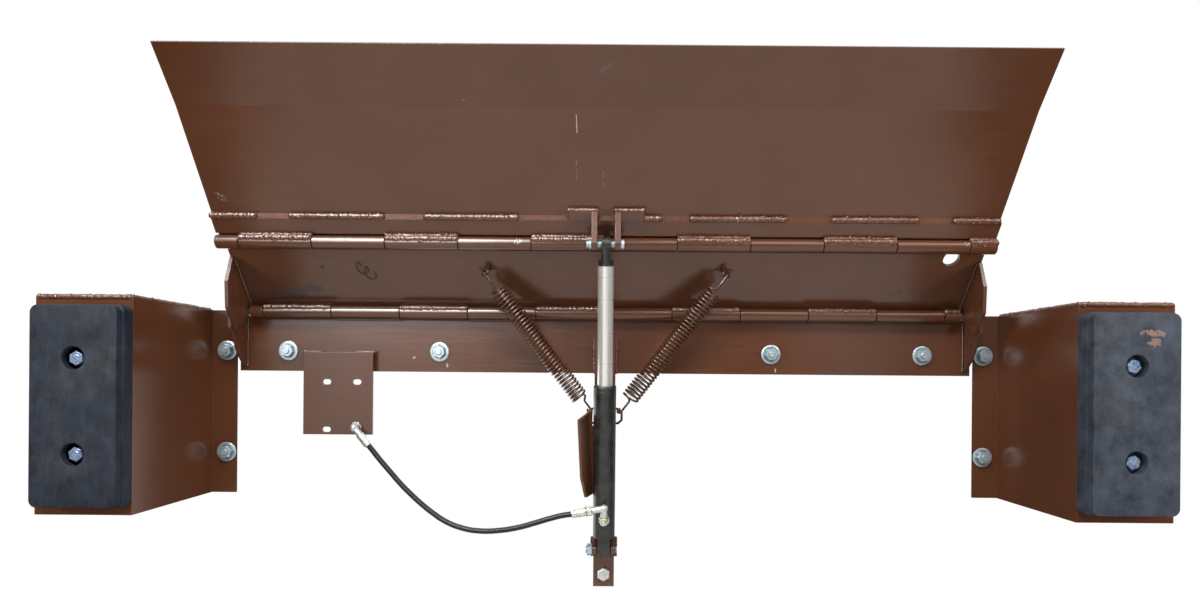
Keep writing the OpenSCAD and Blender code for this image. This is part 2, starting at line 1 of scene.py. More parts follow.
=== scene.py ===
"""Looks of the hydraulic edge-of-dock leveler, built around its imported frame. Lengths are in metres."""
import json
import math

import bmesh
import bpy
from mathutils import Matrix, Vector


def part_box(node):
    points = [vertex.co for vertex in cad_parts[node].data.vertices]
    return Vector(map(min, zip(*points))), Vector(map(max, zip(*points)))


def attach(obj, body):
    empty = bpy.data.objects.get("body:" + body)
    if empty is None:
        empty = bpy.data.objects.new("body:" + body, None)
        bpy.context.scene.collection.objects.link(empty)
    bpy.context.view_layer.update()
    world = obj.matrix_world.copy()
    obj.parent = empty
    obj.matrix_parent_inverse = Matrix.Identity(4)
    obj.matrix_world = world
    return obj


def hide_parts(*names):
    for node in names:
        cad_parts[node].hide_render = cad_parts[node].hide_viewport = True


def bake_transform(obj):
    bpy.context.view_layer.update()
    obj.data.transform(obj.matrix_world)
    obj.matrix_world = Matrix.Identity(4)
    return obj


MM = 0.001
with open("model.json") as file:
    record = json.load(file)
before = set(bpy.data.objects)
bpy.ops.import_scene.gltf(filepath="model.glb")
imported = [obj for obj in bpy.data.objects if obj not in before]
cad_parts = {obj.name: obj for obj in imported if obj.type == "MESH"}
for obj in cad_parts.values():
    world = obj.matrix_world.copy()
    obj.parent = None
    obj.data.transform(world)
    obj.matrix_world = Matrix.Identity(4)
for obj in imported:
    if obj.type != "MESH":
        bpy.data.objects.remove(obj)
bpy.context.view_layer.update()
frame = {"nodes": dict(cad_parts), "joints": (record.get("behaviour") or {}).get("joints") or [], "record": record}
NODES = frame["nodes"]
JOINTS = {joint["name"]: joint for joint in frame["joints"]}
MOUNTS = {mount["name"]: mount for mount in frame["record"]["mounts"]}

# Photograph and camera: level view from the truck side, eye near the strut's upper third
PHOTO_W = 1200
PHOTO_H = 603
AXIS_PX = (605, 377.5)
FOCAL_PX = 696
SENSOR = 36.0
CAMERA_AT = (0, -1.758, -0.0606)
CAMERA_ROLL = math.radians(-0.45)

# Studio: a pale sheet on the drive below the dock, a lamp at each side and one overhead. The lamps give the
# light and shadow; cards that only reflections see give the sheen. Levels are those of a white surface.
FLOOR_Z = -1.25
FLOOR_HALF = 1.8
FLOOR_FRONT = -4.2
FLOOR_BACK = 1.6
FLOOR_LEVEL = 1.05
FLOOR_HAZE = 0.42
GROUND_Z = FLOOR_Z - 0.01
GROUND_HALF = 4 * FLOOR_HALF
GROUND_FRONT = 2 * FLOOR_FRONT
GROUND_LEVEL = 0.02
LAMP_AT = (2.9, -1.5, 0.1)
LAMP_SIZE = (0.9, 1.2)
LAMP_POWER = 45.0
OVER_AT = (0, -2.1, 2.3)
OVER_SIZE = (2.4, 0.8)
OVER_POWER = 95.0
FILL = 0.32
SIDE_X = 3.4
SIDE_TOP = 2.4
SIDE_LEVEL = 0.04
# The hall across the drive, seen in the upright plates. Tones are places from left to right in metres, each
# with its share of the card's level.
HALL_LEVEL = 1.25
HALL_TONES = [(-3.4, 0.05), (-2.95, 0.3), (-2.3, 1.4), (-1.1, 0.65), (-0.5, 0.45), (0.4, 0.1), (1.2, 0.05),
              (2.2, 0.75), (2.7, 0.05), (3.4, 0.03)]
# The hall's bright door, seen in the hinge tubes
DOOR_Y = -4.1
DOOR_LOW = 0.65
DOOR_LEVEL = 11.0
DOOR_TONES = [(-3.2, 0.1), (-2.6, 0.7), (-2.2, 1.0), (-1.3, 1.0), (-0.8, 0.3), (-0.3, 0.08), (0.6, 0.06),
              (2.8, 0.1)]
# The wall below the plates, seen in the guard and the cylinder
DOCK_Y = 0.06
DOCK_TOP = 0.08
DOCK_LEVEL = 1.0
DOCK_TONES = [(-3.4, 0.05), (-0.8, 0.05), (-0.62, 2.2), (-0.14, 2.2), (-0.02, 0.2), (0.1, 0.2), (0.2, 0.5),
              (0.5, 0.5), (0.65, 0.05), (3.4, 0.05)]
# A long lamp above, by the depth and height of its lower and upper edge, and two weaker ones shaped like it
STRIP_LOW = (-2.6, 1.6)
STRIP_HIGH = (-1.9, 2.65)
STRIP_LEVEL = 36.0
STRIP_TONES = [(-2.6, 0.0), (-2.2, 0.35), (-1.8, 1.0), (-0.9, 1.0), (-0.45, 0.2), (-0.2, 0.0)]
BEYOND_SHIFT = 5.4
BEYOND_SHARE = 0.6
WEAK_MIRROR = 0.1
WEAK_SHARE = 0.1

# Frames of the raised ramp and lip: x across, minus y away from the hinge, z out of the top face
REAR_PIN = Vector(JOINTS["ramp_lift"]["pos_m"])
FRONT_PIN = Vector(JOINTS["lip_fold"]["pos_m"])
RAMP_SLOPE = math.radians(JOINTS["ramp_lift"]["range_deg"][1])
LIP_LEAN = math.radians(3.2)
LIP_SLOPE = RAMP_SLOPE + LIP_LEAN
RAMP = Matrix.Translation(REAR_PIN) @ Matrix.Rotation(-RAMP_SLOPE, 4, "X")
LIP = Matrix.Translation(FRONT_PIN) @ Matrix.Rotation(-LIP_SLOPE, 4, "X")


def srgb(code):
    """Linear colour of an sRGB hex value."""
    parts = [int(code[i:i + 2], 16) / 255 for i in (1, 3, 5)]
    return (*[c / 12.92 if c <= 0.04045 else ((c + 0.055) / 1.055) ** 2.4 for c in parts], 1.0)


def per(size_mm):
    """Texture scale at which one feature of a pattern is size_mm long."""
    return 1 / (size_mm * MM)


def add(tree, kind, inputs=None, **settings):
    """Adds a node with its settings; each input is a plain value or another node's output socket."""
    node = tree.nodes.new(kind)
    for key, value in settings.items():
        setattr(node, key, value)
    for key, value in (inputs or {}).items():
        if isinstance(value, bpy.types.NodeSocket):
            tree.links.new(value, node.inputs[key])
        else:
            node.inputs[key].default_value = value
    return node


def photo_camera():
    """Camera at the photograph's place, with its vanishing point and slight roll."""
    data = bpy.data.cameras.new("photo_camera")
    data.sensor_width = SENSOR
    data.lens = SENSOR * FOCAL_PX / PHOTO_W
    data.shift_x = (PHOTO_W / 2 - AXIS_PX[0]) / PHOTO_W
    data.shift_y = (AXIS_PX[1] - PHOTO_H / 2) / PHOTO_W
    data.clip_start = 0.05
    camera = bpy.data.objects.new("photo_camera", data)
    camera.location = CAMERA_AT
    camera.rotation_euler = (math.pi / 2, CAMERA_ROLL, 0)
    bpy.context.scene.collection.objects.link(camera)
    bpy.context.scene.camera = camera


def white_world():
    """White to the camera and in reflections, a soft fill for the rest."""
    world = bpy.data.worlds.new("white_studio")
    bpy.context.scene.world = world
    world.use_nodes = True
    tree = world.node_tree
    background = tree.nodes["Background"]
    path = add(tree, "ShaderNodeLightPath")
    seen = add(tree, "ShaderNodeMath", {0: path.outputs["Is Camera Ray"], 1: path.outputs["Is Glossy Ray"]},
               operation="MAXIMUM")
    seen = add(tree, "ShaderNodeMath", {0: seen.outputs[0], 1: path.outputs["Is Transmission Ray"]},
               operation="MAXIMUM")
    level = add(tree, "ShaderNodeMapRange", {"Value": seen.outputs[0], "To Min": FILL, "To Max": 1.0})
    tree.links.new(level.outputs["Result"], background.inputs["Strength"])
    background.inputs["Color"].default_value = (1, 1, 1, 1)


def lamp(name, at, size, power):
    """Soft rectangular lamp aimed at the hinges; reflections see cards in its place."""
    data = bpy.data.lights.new(name, "AREA")
    data.shape = "RECTANGLE"
    data.size, data.size_y = size
    data.energy = power
    holder = bpy.data.objects.new(name, data)
    holder.location = at
    aim = Vector((0, REAR_PIN.y, REAR_PIN.z)) - holder.location
    holder.rotation_euler = aim.to_track_quat("-Z", "Y").to_euler()
    holder.visible_glossy = False
    bpy.context.scene.collection.objects.link(holder)


def card(name, corners, material):
    """Flat stage card through four corners."""
    mesh = bpy.data.meshes.new(name)
    mesh.from_pydata(corners, [], [(0, 1, 2, 3)])
    mesh.materials.append(material)
    board = bpy.data.objects.new(name, mesh)
    bpy.context.scene.collection.objects.link(board)
    return board


def glow(name, level, tones=()):
    """Plain grey that a reflection shows at the given level, or tones that change from left to right."""
    material = bpy.data.materials.new(name)
    material.use_nodes = True
    tree = material.node_tree
    tree.nodes.clear()
    shine = add(tree, "ShaderNodeEmission", {"Color": (1, 1, 1, 1), "Strength": level})
    if tones:
        place = add(tree, "ShaderNodeTexCoord").outputs["Object"]
        x = add(tree, "ShaderNodeSeparateXYZ", {0: place}).outputs["X"]
        left, right = tones[0][0], tones[-1][0]
        along = add(tree, "ShaderNodeMapRange", {"Value": x, "From Min": left, "From Max": right})
        ramp = add(tree, "ShaderNodeValToRGB", {0: along.outputs["Result"]})
        stops = ramp.color_ramp.elements
        for at, _ in tones[1:-1]:
            stops.new((at - left) / (right - left))
        for stop, (_, tone) in zip(stops, tones):
            stop.color = (tone, tone, tone, 1)
        tree.links.new(ramp.outputs["Color"], shine.inputs["Color"])
    add(tree, "ShaderNodeOutputMaterial", {"Surface": shine.outputs[0]})
    return material


def floor_sheet(name, corners, level):
    """Pale concrete: hazy to the camera, with shadows, and evenly lit at the given level in reflections."""
    material = bpy.data.materials.new(name)
    material.use_nodes = True
    tree = material.node_tree
    tree.nodes.clear()
    path = add(tree, "ShaderNodeLightPath")
    matt = add(tree, "ShaderNodeBsdfDiffuse", {"Color": srgb("#BDBCB9")})
    haze = add(tree, "ShaderNodeMath", {0: path.outputs["Is Camera Ray"], 1: FLOOR_HAZE},
               operation="MULTIPLY")
    veil = add(tree, "ShaderNodeEmission", {"Color": srgb("#FFFFFF"), "Strength": haze.outputs[0]})
    pale = add(tree, "ShaderNodeAddShader", {0: matt.outputs[0], 1: veil.outputs[0]})
    lit = add(tree, "ShaderNodeEmission", {"Color": srgb("#FFFDF8"), "Strength": level})
    both = add(tree, "ShaderNodeMixShader", {
        0: path.outputs["Is Glossy Ray"], 1: pale.outputs[0], 2: lit.outputs[0]})
    add(tree, "ShaderNodeOutputMaterial", {"Surface": both.outputs[0]})
    return card(name, corners, material)


def level_corners(half, front, z):
    """Corners of a level card that runs from the drive to behind the dock wall."""
    return [(-half, front, z), (half, front, z), (half, FLOOR_BACK, z), (-half, FLOOR_BACK, z)]


def upright_corners(left, right, y, low, high):
    """Corners of an upright card that runs from left to right."""
    return [(left, y, low), (right, y, low), (right, y, high), (left, y, high)]


def floors():
    """The sheet below the dock, which the glossy plates show, and dim ground around it."""
    floor_sheet("floor", level_corners(FLOOR_HALF, FLOOR_FRONT, FLOOR_Z), FLOOR_LEVEL)
    ground = floor_sheet("ground", level_corners(GROUND_HALF, GROUND_FRONT, GROUND_Z), GROUND_LEVEL)
    ground.visible_diffuse = False
    ground.visible_shadow = False


def reflection_cards():
    """What glossy paint and metal reflect: dark sides, the hall, its door, the dock wall and long lamps."""
    right = [(SIDE_X, FLOOR_FRONT, GROUND_Z), (SIDE_X, -FLOOR_FRONT, GROUND_Z),
             (SIDE_X, -FLOOR_FRONT, SIDE_TOP), (SIDE_X, FLOOR_FRONT, SIDE_TOP)]
    left = [(-x, y, z) for x, y, z in right]
    dock = upright_corners(-SIDE_X, SIDE_X, DOCK_Y, GROUND_Z, DOCK_TOP)
    hall = upright_corners(-SIDE_X, SIDE_X, FLOOR_FRONT, GROUND_Z, SIDE_TOP)
    door = upright_corners(DOOR_TONES[0][0], DOOR_TONES[-1][0], DOOR_Y, DOOR_LOW, SIDE_TOP)
    start, end = STRIP_TONES[0][0], STRIP_TONES[-1][0]
    strip = [(start, *STRIP_LOW), (end, *STRIP_LOW), (end, *STRIP_HIGH), (start, *STRIP_HIGH)]
    beyond = [(x + BEYOND_SHIFT, y, z) for x, y, z in strip]
    weak = [(WEAK_MIRROR - x, y, z) for x, y, z in strip]
    dim = glow("dim_side", SIDE_LEVEL)
    for name, corners, material in (
            ("right_card", right, dim), ("left_card", left, dim),
            ("dock_card", dock, glow("dock_wall", DOCK_LEVEL, DOCK_TONES)),
            ("hall_card", hall, glow("hall", HALL_LEVEL, HALL_TONES)),
            ("door_card", door, glow("bright_door", DOOR_LEVEL, DOOR_TONES)),
            ("strip_card", strip, glow("long_lamp", STRIP_LEVEL, STRIP_TONES)),
            ("beyond_card", beyond, glow("side_lamp", BEYOND_SHARE * STRIP_LEVEL)),
            ("weak_card", weak, glow("far_lamp", WEAK_SHARE * STRIP_LEVEL))):
        board = card(name, corners, material)
        board.visible_camera = False
        board.visible_diffuse = False
        board.visible_shadow = False
        board.visible_transmission = False


def studio():
    """Camera, light and stage."""
    bpy.context.scene.view_settings.view_transform = "Standard"
    photo_camera()
    white_world()
    x, y, z = LAMP_AT
    lamp("left_lamp", (-x, y, z), LAMP_SIZE, LAMP_POWER)
    lamp("right_lamp", (x, y, z), LAMP_SIZE, LAMP_POWER)
    lamp("overhead_lamp", OVER_AT, OVER_SIZE, OVER_POWER)
    floors()
    reflection_cards()


studio()

# Feed hose: from the crimp at the cylinder's port to the coupling on the valve plate
HOSE_D = 13.5 * MM
HOSE_POINTS = [
    (-76, -113, -384), (-100, -112, -388), (-130, -111, -396), (-165, -109, -407), (-202, -106, -418),
    (-250, -100, -427), (-298, -93, -430), (-340, -86, -425), (-379, -80, -412), (-415, -74, -391),
    (-445, -69, -369), (-470, -65, -348), (-494, -61, -326), (-524, -57, -294), (-552, -54, -263),
    (-568, -52, -244), (-578, -52, -232)]


def feed_hose(rubber):
    """The hose as one smooth curve through its route."""
    data = bpy.data.curves.new("hose", "CURVE")
    data.dimensions = "3D"
    data.bevel_depth = HOSE_D / 2
    data.bevel_resolution = 5
    data.resolution_u = 6
    data.use_fill_caps = True
    data.materials.append(rubber)
    spline = data.splines.new("BEZIER")
    spline.bezier_points.add(len(HOSE_POINTS) - 1)
    for knot, point in zip(spline.bezier_points, HOSE_POINTS):
        knot.co = Vector(point) * MM
        knot.handle_left_type = knot.handle_right_type = "AUTO"
    hose = bpy.data.objects.new("hydraulic_hose", data)
    bpy.context.scene.collection.objects.link(hose)
    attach(hose, "frame")
    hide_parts("feed_hose")


# Colours from the photograph
BROWN = "#552F1A"
BROWN_LIGHT = "#5C3621"
BROWN_THIN = "#8A6656"
BROWN_DARK = "#3A2012"
# Seam colour: painted shade in every seam and corner, with grease
SEAM_SHADE_AND_GREASE = "#1E110A"

# Sockets of a Mix node, which share their names: factor, two values, two colours and the mixed colour
FACTOR = 0
VALUE_A, VALUE_B = 2, 3
COLOUR_A, COLOUR_B = 6, 7
MIXED = 2


def new_material(name):
    """An empty material with its node tree, its shader and Object coordinates."""
    material = bpy.data.materials.new(name)
    material.use_nodes = True
    tree = material.node_tree
    place = add(tree, "ShaderNodeTexCoord").outputs["Object"]
    return material, tree, tree.nodes["Principled BSDF"], place


def mark_mask(tree, place, mark):
    """Broken patch about a point of the X-Z plane, given in millimetres: it is dense in its middle and
    frays out in speckles of the grain's size; more cover leaves fewer gaps."""
    x, z, half_x, half_z, turn, grain, cover = mark
    local = add(tree, "ShaderNodeMapping", {
        "Vector": place, "Location": (x * MM, 0, z * MM), "Rotation": (0, math.radians(turn), 0),
        "Scale": (half_x * MM, 1.0, half_z * MM)}, vector_type="TEXTURE")
    fall = add(tree, "ShaderNodeTexGradient", {"Vector": local.outputs[0]}, gradient_type="SPHERICAL")
    speck = add(tree, "ShaderNodeTexNoise", {"Vector": place, "Scale": per(grain), "Detail": 4.0})
    inside = add(tree, "ShaderNodeMapRange", {"Value": fall.outputs["Fac"], "From Max": 0.6})
    level = add(tree, "ShaderNodeMath", {0: inside.outputs["Result"], 1: speck.outputs["Fac"]},
                operation="MULTIPLY")
    return add(tree, "ShaderNodeMapRange", {
        "Value": level.outputs[0], "From Min": 0.72 - cover, "From Max": 0.82 - cover}).outputs["Result"]


def brown_enamel(name, rough=0.2, streak=(110, 5, 5), shade=0.14, peel=5, peel_deep=0.1, rise=0.4,
                 edge=0.55, light=BROWN_LIGHT, specular=0.5, seam_shade=False, marks=()):
    """Air-drying enamel sprayed on rolled steel plate: a dark red-brown film with a satin sheen, cloudy
    where it lies thicker, faint streaks of the plate below, soft orange peel, and paler thin paint on the
    edges."""
    material, tree, shader, place = new_material(name)
    # Film thickness drifts over about 170 mm
    cloud = add(tree, "ShaderNodeTexNoise", {"Vector": place, "Scale": per(170), "Detail": 3.0})
    # Rolling streaks, named by their length, depth and width in millimetres
    stretched = add(tree, "ShaderNodeMapping", {"Vector": place, "Scale": tuple(per(s) for s in streak)})
    lines = add(tree, "ShaderNodeTexNoise", {"Vector": stretched.outputs[0], "Scale": 1.0, "Detail": 3.0})
    # Orange peel is 1 to 2 mm across: drawn at 5 mm on plates, as fine as the picture shows
    skin = add(tree, "ShaderNodeTexNoise", {"Vector": place, "Scale": per(peel), "Detail": 2.0})
    film = add(tree, "ShaderNodeMapRange", {"Value": cloud.outputs["Fac"], "From Min": 0.3, "From Max": 0.7})
    colour = add(tree, "ShaderNodeMix", {
        FACTOR: film.outputs["Result"], COLOUR_A: srgb(BROWN), COLOUR_B: srgb(light)},
        data_type="RGBA").outputs[MIXED]
    drawn = add(tree, "ShaderNodeMapRange", {
        "Value": lines.outputs["Fac"], "From Min": 0.45, "From Max": 0.8, "To Max": shade})
    colour = add(tree, "ShaderNodeMix", {
        FACTOR: drawn.outputs["Result"], COLOUR_A: colour, COLOUR_B: srgb(BROWN_DARK)},
        data_type="RGBA").outputs[MIXED]
    # Rounded edges 1.5 mm wide, and the thin paint that they leave
    soft = add(tree, "ShaderNodeBevel", {"Radius": 1.5 * MM}, samples=4)
    true = add(tree, "ShaderNodeNewGeometry")
    square = add(tree, "ShaderNodeVectorMath", {0: soft.outputs[0], 1: true.outputs["True Normal"]},
                 operation="DOT_PRODUCT")
    worn = add(tree, "ShaderNodeMapRange", {
        "Value": square.outputs["Value"], "From Min": 0.99, "From Max": 0.86, "To Max": edge})
    broken = add(tree, "ShaderNodeMath", {0: worn.outputs["Result"], 1: skin.outputs["Fac"]},
                 operation="MULTIPLY")
    colour = add(tree, "ShaderNodeMix", {
        FACTOR: broken.outputs[0], COLOUR_A: colour, COLOUR_B: srgb(BROWN_THIN)},
        data_type="RGBA").outputs[MIXED]
    dull = add(tree, "ShaderNodeMapRange", {
        "Value": lines.outputs["Fac"], "From Min": 0.3, "From Max": 0.7,
        "To Min": rough - 0.04, "To Max": rough + 0.06})
    gloss = dull.outputs["Result"]
    if seam_shade:
        # Painted shade and grease darken every seam and corner within 8 mm
        open_sky = add(tree, "ShaderNodeAmbientOcclusion", {"Distance": 8 * MM}, samples=4)
        unshaded = add(tree, "ShaderNodeMapRange", {
            "Value": open_sky.outputs["AO"], "From Min": 0.3, "From Max": 0.8})
        colour = add(tree, "ShaderNodeMix", {
            FACTOR: unshaded.outputs["Result"], COLOUR_A: srgb(SEAM_SHADE_AND_GREASE), COLOUR_B: colour},
            data_type="RGBA").outputs[MIXED]
    for tint, matt, mark in marks:
        mask = mark_mask(tree, place, mark)
        colour = add(tree, "ShaderNodeMix", {
            FACTOR: mask, COLOUR_A: colour, COLOUR_B: srgb(tint)},
            data_type="RGBA").outputs[MIXED]
        gloss = add(tree, "ShaderNodeMix", {FACTOR: mask, VALUE_A: gloss, VALUE_B: matt}).outputs[0]
    tree.links.new(colour, shader.inputs["Base Color"])
    tree.links.new(gloss, shader.inputs["Roughness"])
    height = add(tree, "ShaderNodeMath", {0: lines.outputs["Fac"], 1: 0.6, 2: skin.outputs["Fac"]},
                 operation="MULTIPLY_ADD")
    bump = add(tree, "ShaderNodeBump", {
        "Strength": peel_deep, "Distance": rise * MM, "Height": height.outputs[0],
        "Normal": soft.outputs[0]})
    tree.links.new(bump.outputs[0], shader.inputs["Normal"])
    shader.inputs["IOR"].default_value = 1.55
    shader.inputs["Specular IOR Level"].default_value = specular
    return material


def black_enamel(name):
    """Baked black enamel on a drawn tube: near black and semi gloss, with fine dust and faint streaks."""
    material, tree, shader, place = new_material(name)
    # Handling streaks 140 mm long and 9 mm wide, and dust in patches of about 26 mm
    stretched = add(tree, "ShaderNodeMapping", {"Vector": place, "Scale": (per(9), per(9), per(140))})
    lines = add(tree, "ShaderNodeTexNoise", {"Vector": stretched.outputs[0], "Scale": 1.0, "Detail": 4.0})
    dust = add(tree, "ShaderNodeTexNoise", {
        "Vector": place, "Scale": per(26), "Detail": 6.0, "Roughness": 0.7})
    film = add(tree, "ShaderNodeMapRange", {
        "Value": dust.outputs["Fac"], "From Min": 0.45, "From Max": 0.8})
    colour = add(tree, "ShaderNodeMix", {
        FACTOR: film.outputs["Result"], COLOUR_A: srgb("#1C1C1B"), COLOUR_B: srgb("#3A3C3C")},
        data_type="RGBA").outputs[MIXED]
    tree.links.new(colour, shader.inputs["Base Color"])
    gloss = add(tree, "ShaderNodeMapRange", {
        "Value": lines.outputs["Fac"], "From Min": 0.3, "From Max": 0.7, "To Min": 0.24, "To Max": 0.4})
    tree.links.new(gloss.outputs["Result"], shader.inputs["Roughness"])
    # Rounded edges 1.2 mm wide
    soft = add(tree, "ShaderNodeBevel", {"Radius": 1.2 * MM}, samples=4)
    bump = add(tree, "ShaderNodeBump", {
        "Strength": 0.08, "Distance": 0.3 * MM, "Height": lines.outputs["Fac"], "Normal": soft.outputs[0]})
    tree.links.new(bump.outputs[0], shader.inputs["Normal"])
    shader.inputs["IOR"].default_value = 1.5
    return material


def metal(name, dark, light, rough, spangle, metallic):
    """Plated steel: a clouded mirror whose crystals and handling marks change its tone and gloss."""
    material, tree, shader, place = new_material(name)
    # Crystals of the plating are finer than 1 mm: drawn as wide as the spangle, 4 or 5 mm, so that they show
    patch = add(tree, "ShaderNodeTexVoronoi", {"Vector": place, "Scale": per(spangle)})
    cloud = add(tree, "ShaderNodeTexNoise", {"Vector": place, "Scale": per(3 * spangle), "Detail": 4.0})
    tone = add(tree, "ShaderNodeMath", {0: patch.outputs["Distance"], 1: 0.5, 2: cloud.outputs["Fac"]},
               operation="MULTIPLY_ADD")
    film = add(tree, "ShaderNodeMapRange", {"Value": tone.outputs[0], "From Min": 0.4, "From Max": 1.0})
    colour = add(tree, "ShaderNodeMix", {
        FACTOR: film.outputs["Result"], COLOUR_A: srgb(light), COLOUR_B: srgb(dark)},
        data_type="RGBA").outputs[MIXED]
    # Painted shade and oil darken corners within 9 mm, such as the ring round each hex
    open_sky = add(tree, "ShaderNodeAmbientOcclusion", {"Distance": 9 * MM}, samples=6)
    unshaded = add(tree, "ShaderNodeMapRange", {
        "Value": open_sky.outputs["AO"], "From Min": 0.4, "From Max": 0.9})
    colour = add(tree, "ShaderNodeMix", {
        FACTOR: unshaded.outputs["Result"], COLOUR_A: srgb("#2E3436"), COLOUR_B: colour},
        data_type="RGBA").outputs[MIXED]
    tree.links.new(colour, shader.inputs["Base Color"])
    gloss = add(tree, "ShaderNodeMapRange", {
        "Value": cloud.outputs["Fac"], "From Min": 0.3, "From Max": 0.7,
        "To Min": rough - 0.07, "To Max": rough + 0.1})
    tree.links.new(gloss.outputs["Result"], shader.inputs["Roughness"])
    # Rounded edges 0.8 mm wide
    soft = add(tree, "ShaderNodeBevel", {"Radius": 0.8 * MM}, samples=4)
    bump = add(tree, "ShaderNodeBump", {
        "Strength": 0.06, "Distance": 0.3 * MM, "Height": cloud.outputs["Fac"], "Normal": soft.outputs[0]})
    tree.links.new(bump.outputs[0], shader.inputs["Normal"])
    shader.inputs["Metallic"].default_value = metallic
    return material


def ground_chrome(name):
    """Hard chrome on a ground rod: a bright warm mirror with very fine rings left by the grinding wheel."""
    material, tree, shader, place = new_material(name)
    # Grinding rings are finer than 0.1 mm: drawn 3 mm apart along the rod, so that they show at all
    stretched = add(tree, "ShaderNodeMapping", {"Vector": place, "Scale": (per(160), per(160), per(3))})
    rings = add(tree, "ShaderNodeTexNoise", {"Vector": stretched.outputs[0], "Scale": 1.0, "Detail": 3.0})
    gloss = add(tree, "ShaderNodeMapRange", {
        "Value": rings.outputs["Fac"], "From Min": 0.3, "From Max": 0.7, "To Min": 0.26, "To Max": 0.36})
    tree.links.new(gloss.outputs["Result"], shader.inputs["Roughness"])
    colour = add(tree, "ShaderNodeMix", {
        FACTOR: rings.outputs["Fac"], COLOUR_A: srgb("#F4F2EE"), COLOUR_B: srgb("#DEDAD2")},
        data_type="RGBA").outputs[MIXED]
    tree.links.new(colour, shader.inputs["Base Color"])
    bump = add(tree, "ShaderNodeBump", {
        "Strength": 0.04, "Distance": 0.2 * MM, "Height": rings.outputs["Fac"]})
    tree.links.new(bump.outputs[0], shader.inputs["Normal"])
    shader.inputs["Metallic"].default_value = 0.7
    return material


def hose_rubber(name):
    """Smooth synthetic rubber cover on a braided hose: black with a soft sheen and faint wrap marks."""
    material, tree, shader, place = new_material(name)
    # Wrap marks of the curing tape, about 12 mm apart along the run
    wrap = add(tree, "ShaderNodeTexNoise", {"Vector": place, "Scale": per(12), "Detail": 4.0})
    colour = add(tree, "ShaderNodeMix", {
        FACTOR: wrap.outputs["Fac"], COLOUR_A: srgb("#161616"), COLOUR_B: srgb("#2C2B2A")},
        data_type="RGBA").outputs[MIXED]
    tree.links.new(colour, shader.inputs["Base Color"])
    gloss = add(tree, "ShaderNodeMapRange", {
        "Value": wrap.outputs["Fac"], "From Min": 0.3, "From Max": 0.7, "To Min": 0.3, "To Max": 0.46})
    tree.links.new(gloss.outputs["Result"], shader.inputs["Roughness"])
    bump = add(tree, "ShaderNodeBump", {
        "Strength": 0.15, "Distance": 0.4 * MM, "Height": wrap.outputs["Fac"]})
    tree.links.new(bump.outputs[0], shader.inputs["Normal"])
    shader.inputs["Specular IOR Level"].default_value = 0.22
    return material


def pad_rubber(name, dark, light, marks=()):
    """Moulded reclaimed rubber: blue-black and matt, clouded with bloom and brushed with pale scuffs."""
    material, tree, shader, place = new_material(name)
    # Bloom in clouds of about 40 mm, crumb of 5 mm in the moulded skin, and upright scuffs 45 mm long
    bloom = add(tree, "ShaderNodeTexNoise", {
        "Vector": place, "Scale": per(40), "Detail": 8.0, "Roughness": 0.75})
    crumb = add(tree, "ShaderNodeTexNoise", {"Vector": place, "Scale": per(5), "Detail": 3.0})
    stretched = add(tree, "ShaderNodeMapping", {
        "Vector": place, "Scale": (per(14), per(14), per(45)), "Rotation": (0, math.radians(4), 0)})
    scuff = add(tree, "ShaderNodeTexNoise", {"Vector": stretched.outputs[0], "Scale": 1.0, "Detail": 5.0})
    film = add(tree, "ShaderNodeMapRange", {
        "Value": bloom.outputs["Fac"], "From Min": 0.32, "From Max": 0.68})
    colour = add(tree, "ShaderNodeMix", {
        FACTOR: film.outputs["Result"], COLOUR_A: srgb(dark), COLOUR_B: srgb(light)},
        data_type="RGBA").outputs[MIXED]
    rubbed = add(tree, "ShaderNodeMapRange", {
        "Value": scuff.outputs["Fac"], "From Min": 0.5, "From Max": 0.8, "To Max": 0.22})
    colour = add(tree, "ShaderNodeMix", {
        FACTOR: rubbed.outputs["Result"], COLOUR_A: colour, COLOUR_B: srgb("#465162")},
        data_type="RGBA").outputs[MIXED]
    # Brown road dust in patches of about 110 mm
    dust = add(tree, "ShaderNodeTexNoise", {
        "Vector": place, "Scale": per(110), "Detail": 8.0, "Roughness": 0.7})
    dusty = add(tree, "ShaderNodeMapRange", {
        "Value": dust.outputs["Fac"], "From Min": 0.5, "From Max": 0.75, "To Max": 0.45})
    colour = add(tree, "ShaderNodeMix", {
        FACTOR: dusty.outputs["Result"], COLOUR_A: colour, COLOUR_B: srgb("#4E4A45")},
        data_type="RGBA").outputs[MIXED]
    for tint, mark in marks:
        mask = mark_mask(tree, place, mark)
        colour = add(tree, "ShaderNodeMix", {
            FACTOR: mask, COLOUR_A: colour, COLOUR_B: srgb(tint)},
            data_type="RGBA").outputs[MIXED]
    tree.links.new(colour, shader.inputs["Base Color"])
    gloss = add(tree, "ShaderNodeMapRange", {
        "Value": bloom.outputs["Fac"], "From Min": 0.3, "From Max": 0.7, "To Min": 0.5, "To Max": 0.72})
    tree.links.new(gloss.outputs["Result"], shader.inputs["Roughness"])
    height = add(tree, "ShaderNodeMath", {0: scuff.outputs["Fac"], 1: 0.4, 2: crumb.outputs["Fac"]},
                 operation="MULTIPLY_ADD")
    bump = add(tree, "ShaderNodeBump", {"Strength": 0.25, "Distance": 0.6 * MM, "Height": height.outputs[0]})
    tree.links.new(bump.outputs[0], shader.inputs["Normal"])
    shader.inputs["Specular IOR Level"].default_value = 0.2
    return material


